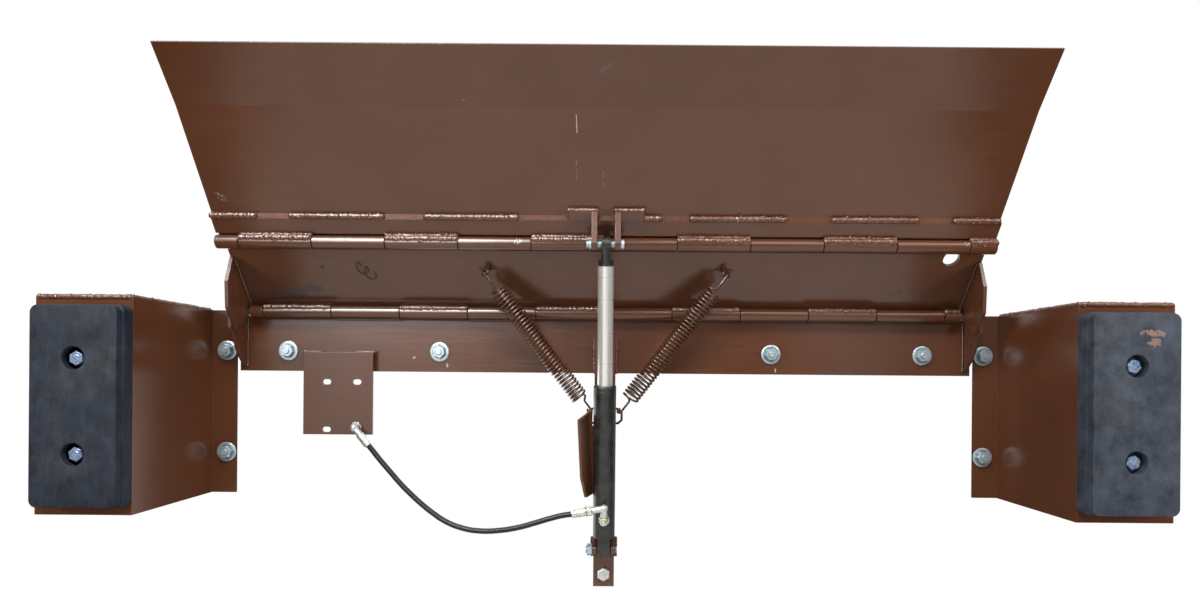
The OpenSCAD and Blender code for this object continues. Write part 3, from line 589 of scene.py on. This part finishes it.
# Marks of use, in millimetres and degrees: tint, roughness, then place, half size, turn, grain and cover
LIP_MARKS = [
    ("#B9AEA6", 0.5, (-64, 474, 2.6, 42, -1.5, 5, 0.32)),
    ("#85756B", 0.5, (-66, 400, 1.6, 62, -1.5, 9, 0.3)),
    ("#85766D", 0.5, (-7, 376, 1.8, 32, 0, 8, 0.3)),
    ("#4C4B4D", 0.45, (2, 560, 60, 30, 0, 12, 0.2)),
    ("#B5A89E", 0.5, (-297, 511, 12, 5, 0, 4, 0.24)),
    ("#8A7466", 0.5, (-866, 339, 40, 16, 25, 6, 0.19))]
RAMP_MARKS = [
    ("#3A2D25", 0.3, (-745, 146, 150, 26, -4, 22, 0.33)),
    ("#33251C", 0.4, (-700, 200, 120, 12, 3, 12, 0.16)),
    ("#3B2A20", 0.4, (690, 150, 170, 26, 0, 14, 0.17))]
FACE_MARKS = [
    ("#B7A79C", 0.55, (-396, -33, 5, 12, 0, 4, 0.3)),
    ("#B7A79C", 0.55, (427, -40, 5, 12, 0, 4, 0.3)),
    ("#C9BDB4", 0.55, (-479, -15, 6, 6, 0, 3, 0.3))]
TUBE_MARKS = [
    ("#A9A6A6", 0.3, (-203, 250, 26, 16, 0, 4, 0.25)),
    ("#9C9592", 0.3, (838, 252, 40, 14, 0, 4, 0.22))]

plate_paint = brown_enamel("brown_enamel_on_plate", marks=FACE_MARKS)
lip_paint = brown_enamel("brown_enamel_on_lip", rough=0.19, marks=LIP_MARKS)
ramp_paint = brown_enamel("brown_enamel_on_ramp", marks=RAMP_MARKS)
# Drawn tube is smoother and takes a brighter sheen; painted shade and grease darken each seam between knuckles
tube_paint = brown_enamel("brown_enamel_on_drawn_tube", rough=0.15, streak=(140, 3, 3), peel_deep=0.07,
                          edge=0.7, seam_shade=True, marks=TUBE_MARKS)
# Flame-cut plate keeps upright drag lines under the paint
side_paint = brown_enamel("brown_enamel_on_flame_cut_plate", rough=0.3, streak=(7, 7, 70), shade=0.8,
                          peel_deep=0.4)
# Weld metal is lumpy, so its paint glints in points; its paler colour is a painted sheen of the many facets
weld_paint = brown_enamel("brown_enamel_on_weld", rough=0.17, streak=(4, 4, 4), peel=2.2, peel_deep=0.8,
                          rise=0.7, edge=0.2, light="#6E4735", seam_shade=True)
# A weld ground flat stays rough from the wheel, so its paint is dull
fillet_paint = brown_enamel("brown_enamel_on_ground_weld", rough=0.5, streak=(9, 9, 9), shade=0.5,
                            light="#5A341F", specular=0.1, seam_shade=True)
# Spring wire is dark between the turns, where its darker colour and seam darkening are painted shade; a bright
# line runs along each
spring_paint = brown_enamel("brown_enamel_on_spring_wire", rough=0.14, streak=(12, 12, 12), shade=0.9,
                            edge=0.0, light="#4A2A19", seam_shade=True)
cylinder_black = black_enamel("black_enamel_on_tube")
bright_zinc = metal("bright_zinc_plate", "#97A8B0", "#CDDAE0", rough=0.34, spangle=4, metallic=0.6)
blue_zinc = metal("blue_passivated_zinc", "#5F7BAA", "#C3D6F0", rough=0.28, spangle=4, metallic=0.6)
yellow_zinc = metal("yellow_passivated_zinc", "#B5A550", "#E2D898", rough=0.3, spangle=5, metallic=0.7)
clear_zinc = metal("clear_passivated_zinc", "#AEB1AC", "#E6E8E4", rough=0.28, spangle=5, metallic=0.6)
rod_chrome = ground_chrome("hard_chrome_on_ground_rod")
hose_cover = hose_rubber("synthetic_hose_rubber")
# Rust rubbed off on the right pad: tint, then place, half size, turn, grain and cover
RUST_SMEAR = [
    ("#7D645A", (1106, 38, 62, 16, 4, 9, 0.36)),
    ("#7D645A", (1112, 18, 30, 20, 0, 7, 0.38))]
# The pads are one rubber: the left copy is painted darker and the right lighter, as painted shade and painted
# light
pad_rubber_left = pad_rubber("moulded_dock_rubber_left", "#0D1118", "#232B38")
pad_rubber_right = pad_rubber("moulded_dock_rubber_right", "#1C2028", "#424954", RUST_SMEAR)

TUBES = ("frame_knuckles", "ramp_rear_knuckles", "ramp_front_knuckles", "lip_knuckles", "rear_hinge_pin",
         "front_hinge_pin")
FINISHES = {
    plate_paint: ("face_plate", "cylinder_strut", "cylinder_clevis", "valve_plate", "bumper_box_left",
                  "bumper_box_right", "bumper_top_left", "bumper_top_right", "cylinder_guard"),
    lip_paint: ("lip_plate", "lip_leaf", "lip_lug_left", "lip_lug_right"),
    ramp_paint: ("ramp_plate", ),
    side_paint: ("toe_guard_left", "toe_guard_right", "end_gusset_left", "end_gusset_right"),
    tube_paint: TUBES,
    spring_paint: ("ramp_staples", "strut_staples"),
    cylinder_black: ("cylinder_barrel", "cylinder_gland", "cylinder_base_lug", "rod_end"),
    rod_chrome: ("cylinder_rod", ),
    bright_zinc: ("cylinder_base_pin", "lip_bolt"),
    clear_zinc: ("port_elbow", "hose_crimp", "hose_coupling"),
}
for finish, names in FINISHES.items():
    for name in names:
        NODES[name].material_slots[0].material = finish

feed_hose(hose_cover)


def node_tree(name, sockets):
    """A geometry tree with named inputs; gives the tree, its input node and a function that closes it."""
    tree = bpy.data.node_groups.new(name, "GeometryNodeTree")
    tree.interface.new_socket("Geometry", in_out="INPUT", socket_type="NodeSocketGeometry")
    for label, kind in sockets:
        tree.interface.new_socket(label, in_out="INPUT", socket_type=kind)
    tree.interface.new_socket("Finish", in_out="INPUT", socket_type="NodeSocketMaterial")
    tree.interface.new_socket("Geometry", in_out="OUTPUT", socket_type="NodeSocketGeometry")
    given = add(tree, "NodeGroupInput")

    def close(made, smooth):
        """Makes what was built real, shaded and painted, and gives the tree."""
        whole = add(tree, "GeometryNodeRealizeInstances", {0: made})
        shaded = add(tree, "GeometryNodeSetShadeSmooth", {0: whole.outputs[0], "Shade Smooth": smooth})
        done = add(tree, "GeometryNodeSetMaterial", {
            0: shaded.outputs[0], "Material": given.outputs["Finish"]})
        add(tree, "NodeGroupOutput", {0: done.outputs[0]})
        return tree

    return tree, given.outputs, close


def grown(name, tree, mesh, inputs):
    """Runs a geometry tree on a mesh and gives an object with the plain mesh that comes out."""
    piece = bpy.data.objects.new(name, mesh)
    bpy.context.scene.collection.objects.link(piece)
    modifier = piece.modifiers.new("growth", "NODES")
    modifier.node_group = tree
    for item in tree.interface.items_tree:
        if item.in_out == "INPUT" and item.name in inputs:
            modifier[item.identifier] = inputs[item.name]
    bpy.context.view_layer.update()
    made = bpy.data.meshes.new_from_object(piece.evaluated_get(bpy.context.evaluated_depsgraph_get()))
    piece.modifiers.remove(modifier)
    piece.data = made
    made.name = name
    return piece


def finish_piece(piece, body, slot, *replaced):
    """Puts a piece on the body that carries it and hides the nodes that it stands for; the slot is not used."""
    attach(piece, body)
    if replaced:
        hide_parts(*replaced)


def points_mesh(name, points):
    """Loose points, in metres."""
    mesh = bpy.data.meshes.new(name)
    mesh.from_pydata([tuple(p) for p in points], [], [])
    return mesh


def paths_mesh(name, paths):
    """Open paths of points in millimetres, each with the bead that follows it."""
    verts, edges, beads = [], [], []
    for points, bead in paths:
        first = len(verts)
        verts += [tuple(Vector(p) * MM) for p in points]
        edges += [(i, i + 1) for i in range(first, len(verts) - 1)]
        beads += [bead * MM] * len(points)
    mesh = bpy.data.meshes.new(name)
    mesh.from_pydata(verts, edges, [])
    mesh.attributes.new("bead", "FLOAT", "POINT").data.foreach_set("value", beads)
    return mesh


# Shares of a bolt part's height and width: its straight shank, its chamfer and the chamfer's narrow end
SHANK_SHARE = 0.8
CHAMFER_SHARE = 0.2
NARROW_SHARE = 0.9


def fastener_tree():
    """Washer, hex and stud end, each with a chamfer, on every point; every hex is turned at random."""
    tree, given, close = node_tree("fasteners", [
        ("Washer Radius", "NodeSocketFloat"), ("Washer Height", "NodeSocketFloat"),
        ("Hex Radius", "NodeSocketFloat"), ("Hex Height", "NodeSocketFloat"),
        ("Stud Radius", "NodeSocketFloat"), ("Stud Height", "NodeSocketFloat"), ("Seed", "NodeSocketInt")])
    whole = add(tree, "GeometryNodeJoinGeometry")
    for sides, size in ((28, "Washer"), (6, "Hex"), (18, "Stud")):
        high, wide = given[size + " Height"], given[size + " Radius"]
        straight = add(tree, "ShaderNodeMath", {0: high, 1: SHANK_SHARE}, operation="MULTIPLY").outputs[0]
        rest = add(tree, "ShaderNodeMath", {0: high, 1: CHAMFER_SHARE}, operation="MULTIPLY").outputs[0]
        half = add(tree, "ShaderNodeMath", {0: high, 1: SHANK_SHARE / 2}, operation="MULTIPLY").outputs[0]
        narrow = add(tree, "ShaderNodeMath", {0: wide, 1: NARROW_SHARE}, operation="MULTIPLY").outputs[0]
        shank = add(tree, "GeometryNodeMeshCylinder", {"Vertices": sides, "Radius": wide, "Depth": straight})
        rim = add(tree, "GeometryNodeMeshCone", {
            "Vertices": sides, "Radius Top": narrow, "Radius Bottom": wide, "Depth": rest})
        for made, rise in ((shank, half), (rim, straight)):
            lift = add(tree, "ShaderNodeCombineXYZ", {"Z": rise})
            moved = add(tree, "GeometryNodeTransform", {
                "Geometry": made.outputs["Mesh"], "Translation": lift.outputs[0]})
            tree.links.new(moved.outputs[0], whole.inputs[0])
    spin = add(tree, "FunctionNodeRandomValue", {2: 0.0, 3: math.pi / 3, "Seed": given["Seed"]},
               data_type="FLOAT")
    turn = add(tree, "ShaderNodeCombineXYZ", {"Z": spin.outputs[1]})
    stood = add(tree, "GeometryNodeInstanceOnPoints", {
        "Points": given["Geometry"], "Instance": whole.outputs[0], "Rotation": (math.pi / 2, 0, 0)})
    spun = add(tree, "GeometryNodeRotateInstances", {
        "Instances": stood.outputs[0], "Rotation": turn.outputs[0]})
    return close(spun.outputs[0], False)


def weld_tree():
    """Overlapping drops of weld metal along each path, as large as its bead."""
    tree, given, close = node_tree("weld_beads", [("Step", "NodeSocketFloat"), ("Seed", "NodeSocketInt")])
    line = add(tree, "GeometryNodeMeshToCurve", {"Mesh": given["Geometry"]})
    spots = add(tree, "GeometryNodeCurveToPoints", {"Curve": line.outputs[0], "Length": given["Step"]},
                mode="LENGTH")
    drop = add(tree, "GeometryNodeMeshUVSphere", {"Segments": 8, "Rings": 5, "Radius": 1.0})
    bead = add(tree, "GeometryNodeInputNamedAttribute", {"Name": "bead"}, data_type="FLOAT")
    uneven = add(tree, "FunctionNodeRandomValue", {
        0: (0.8, 0.82, 0.82), 1: (1.12, 1.14, 1.14), "Seed": given["Seed"]}, data_type="FLOAT_VECTOR")
    size = add(tree, "ShaderNodeVectorMath", {0: uneven.outputs[0], "Scale": bead.outputs["Attribute"]},
               operation="SCALE")
    tumble = add(tree, "FunctionNodeRandomValue", {
        0: (-0.5, -0.5, -3.1), 1: (0.5, 0.5, 3.1), "Seed": given["Seed"]}, data_type="FLOAT_VECTOR")
    laid = add(tree, "GeometryNodeInstanceOnPoints", {
        "Points": spots.outputs["Points"], "Instance": drop.outputs["Mesh"], "Rotation": tumble.outputs[0],
        "Scale": size.outputs[0]})
    # Smaller grains on the bead, up to four fifths of its radius off the path
    grit = add(tree, "ShaderNodeMath", {0: given["Step"], 1: 0.6}, operation="MULTIPLY")
    dense = add(tree, "GeometryNodeCurveToPoints", {"Curve": line.outputs[0], "Length": grit.outputs[0]},
                mode="LENGTH")
    throw = add(tree, "FunctionNodeRandomValue", {
        0: (-0.8, -0.8, -0.8), 1: (0.8, 0.8, 0.8), "Seed": given["Seed"]}, data_type="FLOAT_VECTOR")
    off = add(tree, "ShaderNodeVectorMath", {0: throw.outputs[0], "Scale": bead.outputs["Attribute"]},
              operation="SCALE")
    strewn = add(tree, "GeometryNodeSetPosition", {
        "Geometry": dense.outputs["Points"], "Offset": off.outputs[0]})
    fine = add(tree, "GeometryNodeMeshUVSphere", {"Segments": 6, "Rings": 4, "Radius": 0.36})
    grains = add(tree, "GeometryNodeInstanceOnPoints", {
        "Points": strewn.outputs[0], "Instance": fine.outputs["Mesh"], "Scale": size.outputs[0]})
    both = add(tree, "GeometryNodeJoinGeometry")
    for made in (laid, grains):
        tree.links.new(made.outputs[0], both.inputs[0])
    return close(both.outputs[0], True)


def wire_tree():
    """Round wire along a path."""
    tree, given, close = node_tree("wire", [("Radius", "NodeSocketFloat"), ("Sides", "NodeSocketInt")])
    line = add(tree, "GeometryNodeMeshToCurve", {"Mesh": given["Geometry"]})
    profile = add(tree, "GeometryNodeCurvePrimitiveCircle", {
        "Resolution": given["Sides"], "Radius": given["Radius"]})
    bar = add(tree, "GeometryNodeCurveToMesh", {
        "Curve": line.outputs[0], "Profile Curve": profile.outputs["Curve"], "Fill Caps": True})
    return close(bar.outputs[0], True)


def tread_tree():
    """Raised lens-shaped treads on a grid of points, every second one turned the other way."""
    tree, given, close = node_tree("tread", [
        ("Length", "NodeSocketFloat"), ("Width", "NodeSocketFloat"), ("Height", "NodeSocketFloat")])
    odd = add(tree, "GeometryNodeInputNamedAttribute", {"Name": "odd"}, data_type="FLOAT")
    angle = add(tree, "ShaderNodeMapRange", {
        "Value": odd.outputs["Attribute"], "To Min": -math.pi / 4, "To Max": math.pi / 4})
    turn = add(tree, "ShaderNodeCombineXYZ", {"Z": angle.outputs[0]})
    lens = add(tree, "GeometryNodeMeshUVSphere", {"Segments": 10, "Rings": 4, "Radius": 1.0})
    size = add(tree, "ShaderNodeCombineXYZ", {
        "X": given["Length"], "Y": given["Width"], "Z": given["Height"]})
    laid = add(tree, "GeometryNodeInstanceOnPoints", {
        "Points": given["Geometry"], "Instance": lens.outputs["Mesh"], "Rotation": turn.outputs[0],
        "Scale": size.outputs[0]})
    return close(laid.outputs[0], True)


FASTENERS = fastener_tree()
WELDS = weld_tree()
WIRE = wire_tree()
TREAD = tread_tree()


def pattern_points(name):
    """Hole centres of a bolt pattern, on the plate's front face."""
    mount = MOUNTS[name]
    x, y, z = mount["pos_m"]
    across = mount["dims"]["spacing_x_mm"] * MM / 2
    up = mount["dims"].get("spacing_y_mm", 0) * MM / 2
    rows = (-up, up) if up else (0, )
    return [(x + side * across, 2 * y, z + row) for side in (-1, 1) for row in rows]


# Bolts: washer, hex and stud end, with the seed that turns each hex
ANCHOR = {"Washer Radius": 24 * MM, "Washer Height": 4 * MM, "Hex Radius": 16.5 * MM, "Hex Height": 15 * MM,
          "Stud Radius": 8 * MM, "Stud Height": 18 * MM, "Seed": 4, "Finish": bright_zinc}
FOOT_BOLT = {"Washer Radius": 14 * MM, "Washer Height": 1 * MM, "Hex Radius": 17 * MM, "Hex Height": 13 * MM,
             "Stud Radius": 6 * MM, "Stud Height": 12 * MM, "Seed": 9, "Finish": clear_zinc}
PAD_BOLT = {"Washer Radius": 21 * MM, "Washer Height": 3 * MM, "Hex Radius": 16 * MM, "Hex Height": 14 * MM,
            "Stud Radius": 8 * MM, "Stud Height": 14.6 * MM, "Seed": 6, "Finish": blue_zinc}
PAD_BOLT_Z = 98 * MM


def anchors():
    """Anchor bolts of face plate and boxes, the strut's foot bolt and the bolts sunk in the pads."""
    holes = []
    for name in ("face_anchors_inner", "face_anchors_outer", "box_anchors_left", "box_anchors_right"):
        holes += pattern_points(name)
    x, y, z = MOUNTS["strut_anchor"]["pos_m"]
    sunk = []
    for side in ("left", "right"):
        low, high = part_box("bumper_pad_" + side)
        middle = (low + high) / 2
        sunk += [(middle.x, middle.y, middle.z + way * PAD_BOLT_Z) for way in (-1, 1)]
    for name, places, bolt in (("wall_anchors", holes, ANCHOR), ("strut_bolt", [(x, 2 * y, z)], FOOT_BOLT),
                               ("pad_bolts", sunk, PAD_BOLT)):
        made = grown(name, FASTENERS, points_mesh(name + "_places", places), bolt)
        finish_piece(made, "frame", "zinc_steel")


# Knuckle rows of the hinges, in millimetres: pitch, shift and number of tubes each way, and how far a weld
# stops short of a tube's end
KNUCKLE_PITCH = 168
KNUCKLE_SHIFT = -4
KNUCKLE_COUNT = 6
KNUCKLE_SHORT = 5


def odd_knuckles(half):
    """Spans of the tubes that the lip and the ramp's rear edge carry, in millimetres."""
    spans = []
    for k in range(-KNUCKLE_COUNT + 1, KNUCKLE_COUNT, 2):
        start = max(KNUCKLE_SHIFT + KNUCKLE_PITCH * k, -half)
        end = min(KNUCKLE_SHIFT + KNUCKLE_PITCH * (k + 1), half)
        spans.append((start + KNUCKLE_SHORT, end - KNUCKLE_SHORT))
    return spans


def along(local, points, bead):
    """Weld path through points given as width, distance and height in a plate's own frame."""
    return [local @ (Vector((x, -u, n)) * MM) / MM for x, u, n in points], bead


def across(local, spans, u, n, bead):
    """Weld paths along spans of the width, at a distance and height in a plate's own frame."""
    return [along(local, [(x, u, n) for x in span], bead) for span in spans]


def lip_welds():
    """Welds on the lip: leaf, knuckles and lugs."""
    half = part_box("lip_plate")[1].x / MM
    knuckles = odd_knuckles(half)
    leaf = [(-half + 3, -802), (-715, -510), (-410, -205), (88, 122), (196, 405), (517, 706),
            (793, half - 8)]
    paths = across(LIP, leaf, u=60, n=9.5, bead=7.5)
    paths += across(LIP, knuckles, u=13.2, n=-5, bead=8)
    paths += across(LIP, knuckles, u=16, n=2, bead=7)
    for side in (-1, 1):
        paths += across(LIP, [(side * 21, side * 84)], u=79, n=9, bead=6)
        paths.append(along(LIP, [(side * 86, u, 12) for u in (58, 78)], bead=5))
    # A tack at the middle of each tube
    middles = [(start + end) / 2 for start, end in knuckles]
    return paths + across(LIP, [(x - 2, x + 2) for x in middles], u=9.2, n=-13, bead=2.4)


def ramp_welds():
    """Welds on the ramp: rear knuckles, a stray loop of weld, toe guards and spring staples."""
    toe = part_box("toe_guard_right")[0].x / MM
    paths = across(RAMP, odd_knuckles(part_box("rear_hinge_pin")[1].x / MM), u=15, n=-3, bead=7)
    loop = [(9 * math.cos(i * 0.5) + 1.3 * i - 17, 13 * math.sin(i * 0.5) - 1.1 * i + 14) for i in range(28)]
    paths.append(along(RAMP, [(x - 580, 107 + y, 17.2) for x, y in loop], bead=2.2))
    for side in (-1, 1):
        paths.append(along(RAMP, [(side * (toe - 2), u, 16) for u in (4, 138)], bead=3.4))
        paths += across(RAMP, [(side * 285 - 17, side * 285 + 17)], u=115, n=17, bead=3)
    return paths


def frame_welds():
    """Welds on the frame: plate edge, strut, gussets, clevis, box tops, valve plate and guard."""
    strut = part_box("cylinder_strut")[1].x / MM
    plate_low, plate_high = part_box("face_plate")
    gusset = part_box("end_gusset_right")[0].x / MM
    valve_low, valve_high = (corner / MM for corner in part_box("valve_plate"))
    front = plate_low.y / MM
    edge = plate_high.z / MM + 2
    paths = [([(-gusset, -6, edge), (gusset, -6, edge)], 4.5)]
    for side, hand in ((-1, "left"), (1, "right")):
        x = side * (strut + 2)
        paths.append(([(x, front - 2.5, 32), (x, front - 2.5, -48)], 4))
        x = side * (gusset - 2)
        paths.append(([(x, front - 2, 78), (x, front - 2, -36)], 3))
        paths.append(([(side * 31, -12, -462), (side * 31, -12, -506)], 3))
        inner, outer = sorted(side * corner.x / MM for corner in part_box("bumper_top_" + hand))
        low, high = (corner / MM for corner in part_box("bumper_box_" + hand))
        near = low.y + 2
        z = high.z - 1.5
        rim = [(inner - 3, -16), (inner - 3, near), (outer + 3, near), (outer + 3, -16)]
        paths.append(([(side * x, y, z) for x, y in rim], 6))
    for start, end in ((valve_low.x, valve_low.x + 42), (valve_high.x - 42, valve_high.x)):
        paths.append(([(x, valve_low.y + 6, valve_high.z + 1) for x in (start, end)], 4.5))
    paths.append(([(-strut - 2, -21, -190), (-strut - 2, -21, -345)], 3))
    return paths


WELD_STEP = 4 * MM


def welds():
    """One mesh of painted weld beads for each body."""
    for seed, body, paths in ((1, "lip", lip_welds()), (2, "ramp", ramp_welds()),
                              (3, "frame", frame_welds())):
        made = grown(body + "_welds", WELDS, paths_mesh(body + "_weld_paths", paths),
                     {"Step": WELD_STEP, "Seed": seed, "Finish": weld_paint})
        finish_piece(made, body, "brown_paint")


# Springs, in millimetres: coil, wire and end loops, straight ends, and the staples that hold the loops
COIL_R = 20.0
WIRE_R = 2.7
LOOP_R = 6.3
COILS = 36
SHANK_LOW = 31.0
SHANK_HIGH = 38.0
END_RISE = 8.0
END_TURN = math.pi
LOOP_SWEEP = math.radians(240)
STAPLE_CORNERS = (Vector((33, -15.5, -139)), Vector((42, -28, -148)))
RAMP_STAPLE = Vector((285, -115, -6))
COIL_STEPS = 22
LOOP_STEPS = 16
WIRE_SIDES = 8


def spring_path(way):
    """Points of one spring, from its lower loop over the coil to its upper loop, in millimetres."""
    mirror = Vector((way, 1, 1))
    a, b = (corner * mirror for corner in STAPLE_CORNERS)
    bottom = (a + b) / 2
    top = RAMP @ (RAMP_STAPLE * mirror * MM) / MM
    pull = bottom - top
    slope = Vector((0, -math.cos(RAMP_SLOPE), math.sin(RAMP_SLOPE)))
    bar = (Vector((pull.dot(slope), 0, 0)) - pull.x * slope).normalized()
    axis = -pull.normalized()
    low = axis.cross(b - a).normalized()
    low_side = axis.cross(low)
    high = axis.cross(bar).normalized()
    turn = 2 * math.pi * COILS + math.atan2(high.dot(low_side), high.dot(low))
    body = pull.length - SHANK_LOW - SHANK_HIGH

    def ease(angle):
        """Share of an end turn that is wound at an angle, slowing towards its end."""
        t = min(angle / END_TURN, 1)
        return 1 - (1 - t) ** 2

    def out(angle):
        """Direction from the spring's axis to its wire."""
        return math.cos(angle) * low + math.sin(angle) * low_side

    def coil(angle):
        """Point of the coil, which draws in to the loops at its ends."""
        rise = SHANK_LOW + (body - 2 * END_RISE) * angle / turn
        rise += END_RISE * (1 + ease(angle) - ease(turn - angle))
        wide = LOOP_R + (COIL_R - LOOP_R) * ease(min(angle, turn - angle))
        return bottom + rise * axis + wide * out(angle)

    def loop(centre, far, reach, angle):
        """Point of an end loop round a staple."""
        return centre + LOOP_R * (math.cos(angle) * far - math.sin(angle) * reach)

    sweeps = [LOOP_SWEEP * i / LOOP_STEPS for i in range(LOOP_STEPS + 1)]
    steps = int(turn / (2 * math.pi) * COIL_STEPS)
    path = [loop(bottom, low, axis, angle) for angle in reversed(sweeps)]
    path += [coil(0) - WIRE_R * axis]
    path += [coil(turn * i / steps) for i in range(1, steps)]
    path += [coil(turn) + WIRE_R * axis]
    path += [loop(top, out(turn), -axis, angle) for angle in sweeps]
    return path, bottom * MM, top * MM


def springs():
    """Both wound springs, each stretching between the strut's staple and the ramp's."""
    for name, way in (("spring_left", -1), ("spring_right", 1)):
        path, bottom, top = spring_path(way)
        made = grown("wound_" + name, WIRE, paths_mesh(name + "_path", [(path, WIRE_R)]),
                     {"Radius": WIRE_R * MM, "Sides": WIRE_SIDES, "Finish": spring_paint})
        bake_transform(made)
        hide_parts(name)


# Lip lugs, cut from angle iron, in millimetres: where the web starts and ends and where the foot ends, from
# mid width, and outlines in the lip's frame as distance from the hinge and height. The web is hollowed to
# clear the hinge tube.
WEB_INNER = 20
WEB_OUTER = 32.7
FOOT_END = 85
LUG_BORE = [(19 * math.cos(a), -19 * math.sin(a)) for a in (0.02, 0.3, 0.6, 0.9, 1.2, 1.46)]
LUG_WEB = [(19, 6), (56, 6), (56, 16), (78, 16), (78, 3), (28, -53), (11, -53), (2, -44)] + LUG_BORE[::-1]
LUG_FOOT = [(56, 16), (78, 16), (78, 3), (56, 3)]
LEAF_FILLET = [(56, 6), (64.5, 16), (56, 16)]


def prism(shape, outline, start, end):
    """Adds an outline of the lip's frame to a mesh, drawn out across the width."""
    ends = [[shape.verts.new(LIP @ (Vector((x, -u, n)) * MM)) for u, n in outline] for x in (start, end)]
    near, far = ends
    shape.faces.new(near)
    shape.faces.new(far)
    for i in range(len(outline)):
        shape.faces.new((near[i - 1], near[i], far[i], far[i - 1]))


def lip_iron(name, parts, paint, *replaced):
    """A painted piece of the lip, made of prisms."""
    shape = bmesh.new()
    for outline, start, end in parts:
        prism(shape, outline, start, end)
    bmesh.ops.recalc_face_normals(shape, faces=shape.faces)
    mesh = bpy.data.meshes.new(name)
    shape.to_mesh(mesh)
    shape.free()
    mesh.materials.append(paint)
    iron = bpy.data.objects.new(name, mesh)
    bpy.context.scene.collection.objects.link(iron)
    finish_piece(iron, "lip", "brown_paint", *replaced)


def lugs():
    """The lip's lugs, each a web with a sloping edge and a foot on the lip, and the leaf's long fillet."""
    for name, side in (("lip_lug_left", -1), ("lip_lug_right", 1)):
        web = (LUG_WEB, side * WEB_INNER, side * WEB_OUTER)
        foot = (LUG_FOOT, side * WEB_OUTER, side * FOOT_END)
        lip_iron("cut_" + name, [web, foot], lip_paint, name)
    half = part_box("lip_leaf")[1].x / MM
    lip_iron("leaf_fillet", [(LEAF_FILLET, -half, half)], fillet_paint)


# Yellow rings on the cylinder's port, in millimetres: middle, axis and radius
RINGS = [((0, -110.9, -394.4), (0, -0.2012, 0.9796), 8.6),
         ((-42.3, -114.3, -377.7), (-0.9826, 0.0373, -0.1819), 10)]
RING_R = 2
RING_STEPS = 24


def rings():
    """Yellow passivated rings at the foot of the port's elbow and on the hose's crimp."""
    paths = []
    turns = [2 * math.pi * i / RING_STEPS for i in range(RING_STEPS + 1)]
    for middle, axis, wide in RINGS:
        side = Vector(axis).orthogonal().normalized()
        over = Vector(axis).cross(side)
        ring = [Vector(middle) + wide * (math.cos(a) * side + math.sin(a) * over) for a in turns]
        paths.append((ring, RING_R))
    made = grown("fitting_rings", WIRE, paths_mesh("ring_paths", paths),
                 {"Radius": RING_R * MM, "Sides": WIRE_SIDES, "Finish": yellow_zinc})
    finish_piece(made, "barrel", "yellow_zinc")


# Pads: radius of the moulded edges, the angle past which an edge is rounded and the one past which shading
# keeps it crisp, and how flat and how close the CAD mesh has to be to be joined up
PAD_ROUND = 4 * MM
PAD_EDGE = math.radians(40)
PAD_CRISP = math.radians(35)
FLAT_WITHIN = math.radians(1)
MERGE_WITHIN = 0.01 * MM


def pads():
    """Rubber pads with their moulded edges rounded."""
    for side, rubber in (("left", pad_rubber_left), ("right", pad_rubber_right)):
        node = "bumper_pad_" + side
        shape = bmesh.new()
        shape.from_mesh(NODES[node].data)
        bmesh.ops.remove_doubles(shape, verts=shape.verts, dist=MERGE_WITHIN)
        bmesh.ops.dissolve_limit(shape, angle_limit=FLAT_WITHIN, verts=shape.verts, edges=shape.edges)
        sharp = [edge for edge in shape.edges if edge.is_manifold and edge.calc_face_angle() > PAD_EDGE]
        bmesh.ops.bevel(shape, geom=sharp, offset=PAD_ROUND, segments=4, profile=0.5, affect="EDGES",
                        clamp_overlap=True)
        bmesh.ops.triangulate(shape, faces=[face for face in shape.faces if len(face.verts) > 4])
        mesh = bpy.data.meshes.new("rounded_" + node)
        shape.to_mesh(mesh)
        shape.free()
        mesh.materials.append(rubber)
        for face in mesh.polygons:
            face.use_smooth = True
        mesh.set_sharp_from_angle(angle=PAD_CRISP)
        pad = bpy.data.objects.new("rounded_" + node, mesh)
        bpy.context.scene.collection.objects.link(pad)
        finish_piece(pad, "frame", "pad_rubber", node)


# Tread, in millimetres: pitch and half size of a lens, height of the plates' top faces in their own
# frames, and the ramp's lifting hole with the room that it keeps
TREAD_PITCH = 27.0
LENS = (11, 3.6, 1.6)
PLATE_TOP = 28
LIFT_HOLE = Vector((818, -151, PLATE_TOP))
HOLE_ROOM = 31


def tread(name, node, body, local, near, far, width):
    """Raised tread on a plate's upper face, from its near to its far edge, clear of the lifting hole."""
    columns = int(width / TREAD_PITCH)
    rows = int((far - near) / TREAD_PITCH)
    start = -(columns - 1) * TREAD_PITCH / 2
    places = []
    odd = []
    for j in range(rows):
        for i in range(columns):
            place = Vector((start + TREAD_PITCH * i, -near - TREAD_PITCH * (j + 0.5), PLATE_TOP))
            if body != "ramp" or (place - LIFT_HOLE).length > HOLE_ROOM:
                places.append(place * MM)
                odd.append((i + j) % 2)
    mesh = points_mesh(name + "_places", places)
    mesh.attributes.new("odd", "FLOAT", "POINT").data.foreach_set("value", odd)
    length, wide, high = LENS
    made = grown(name, TREAD, mesh, {"Length": length * MM, "Width": wide * MM, "Height": high * MM,
                                     "Finish": NODES[node].material_slots[0].material})
    made.data.transform(local)
    finish_piece(made, body, "brown_paint")


anchors()
welds()
springs()
lugs()
rings()
pads()
tread("ramp_tread", "ramp_plate", "ramp", RAMP, near=6, far=180, width=1740)
tread("lip_tread", "lip_plate", "lip", LIP, near=16, far=296, width=1760)
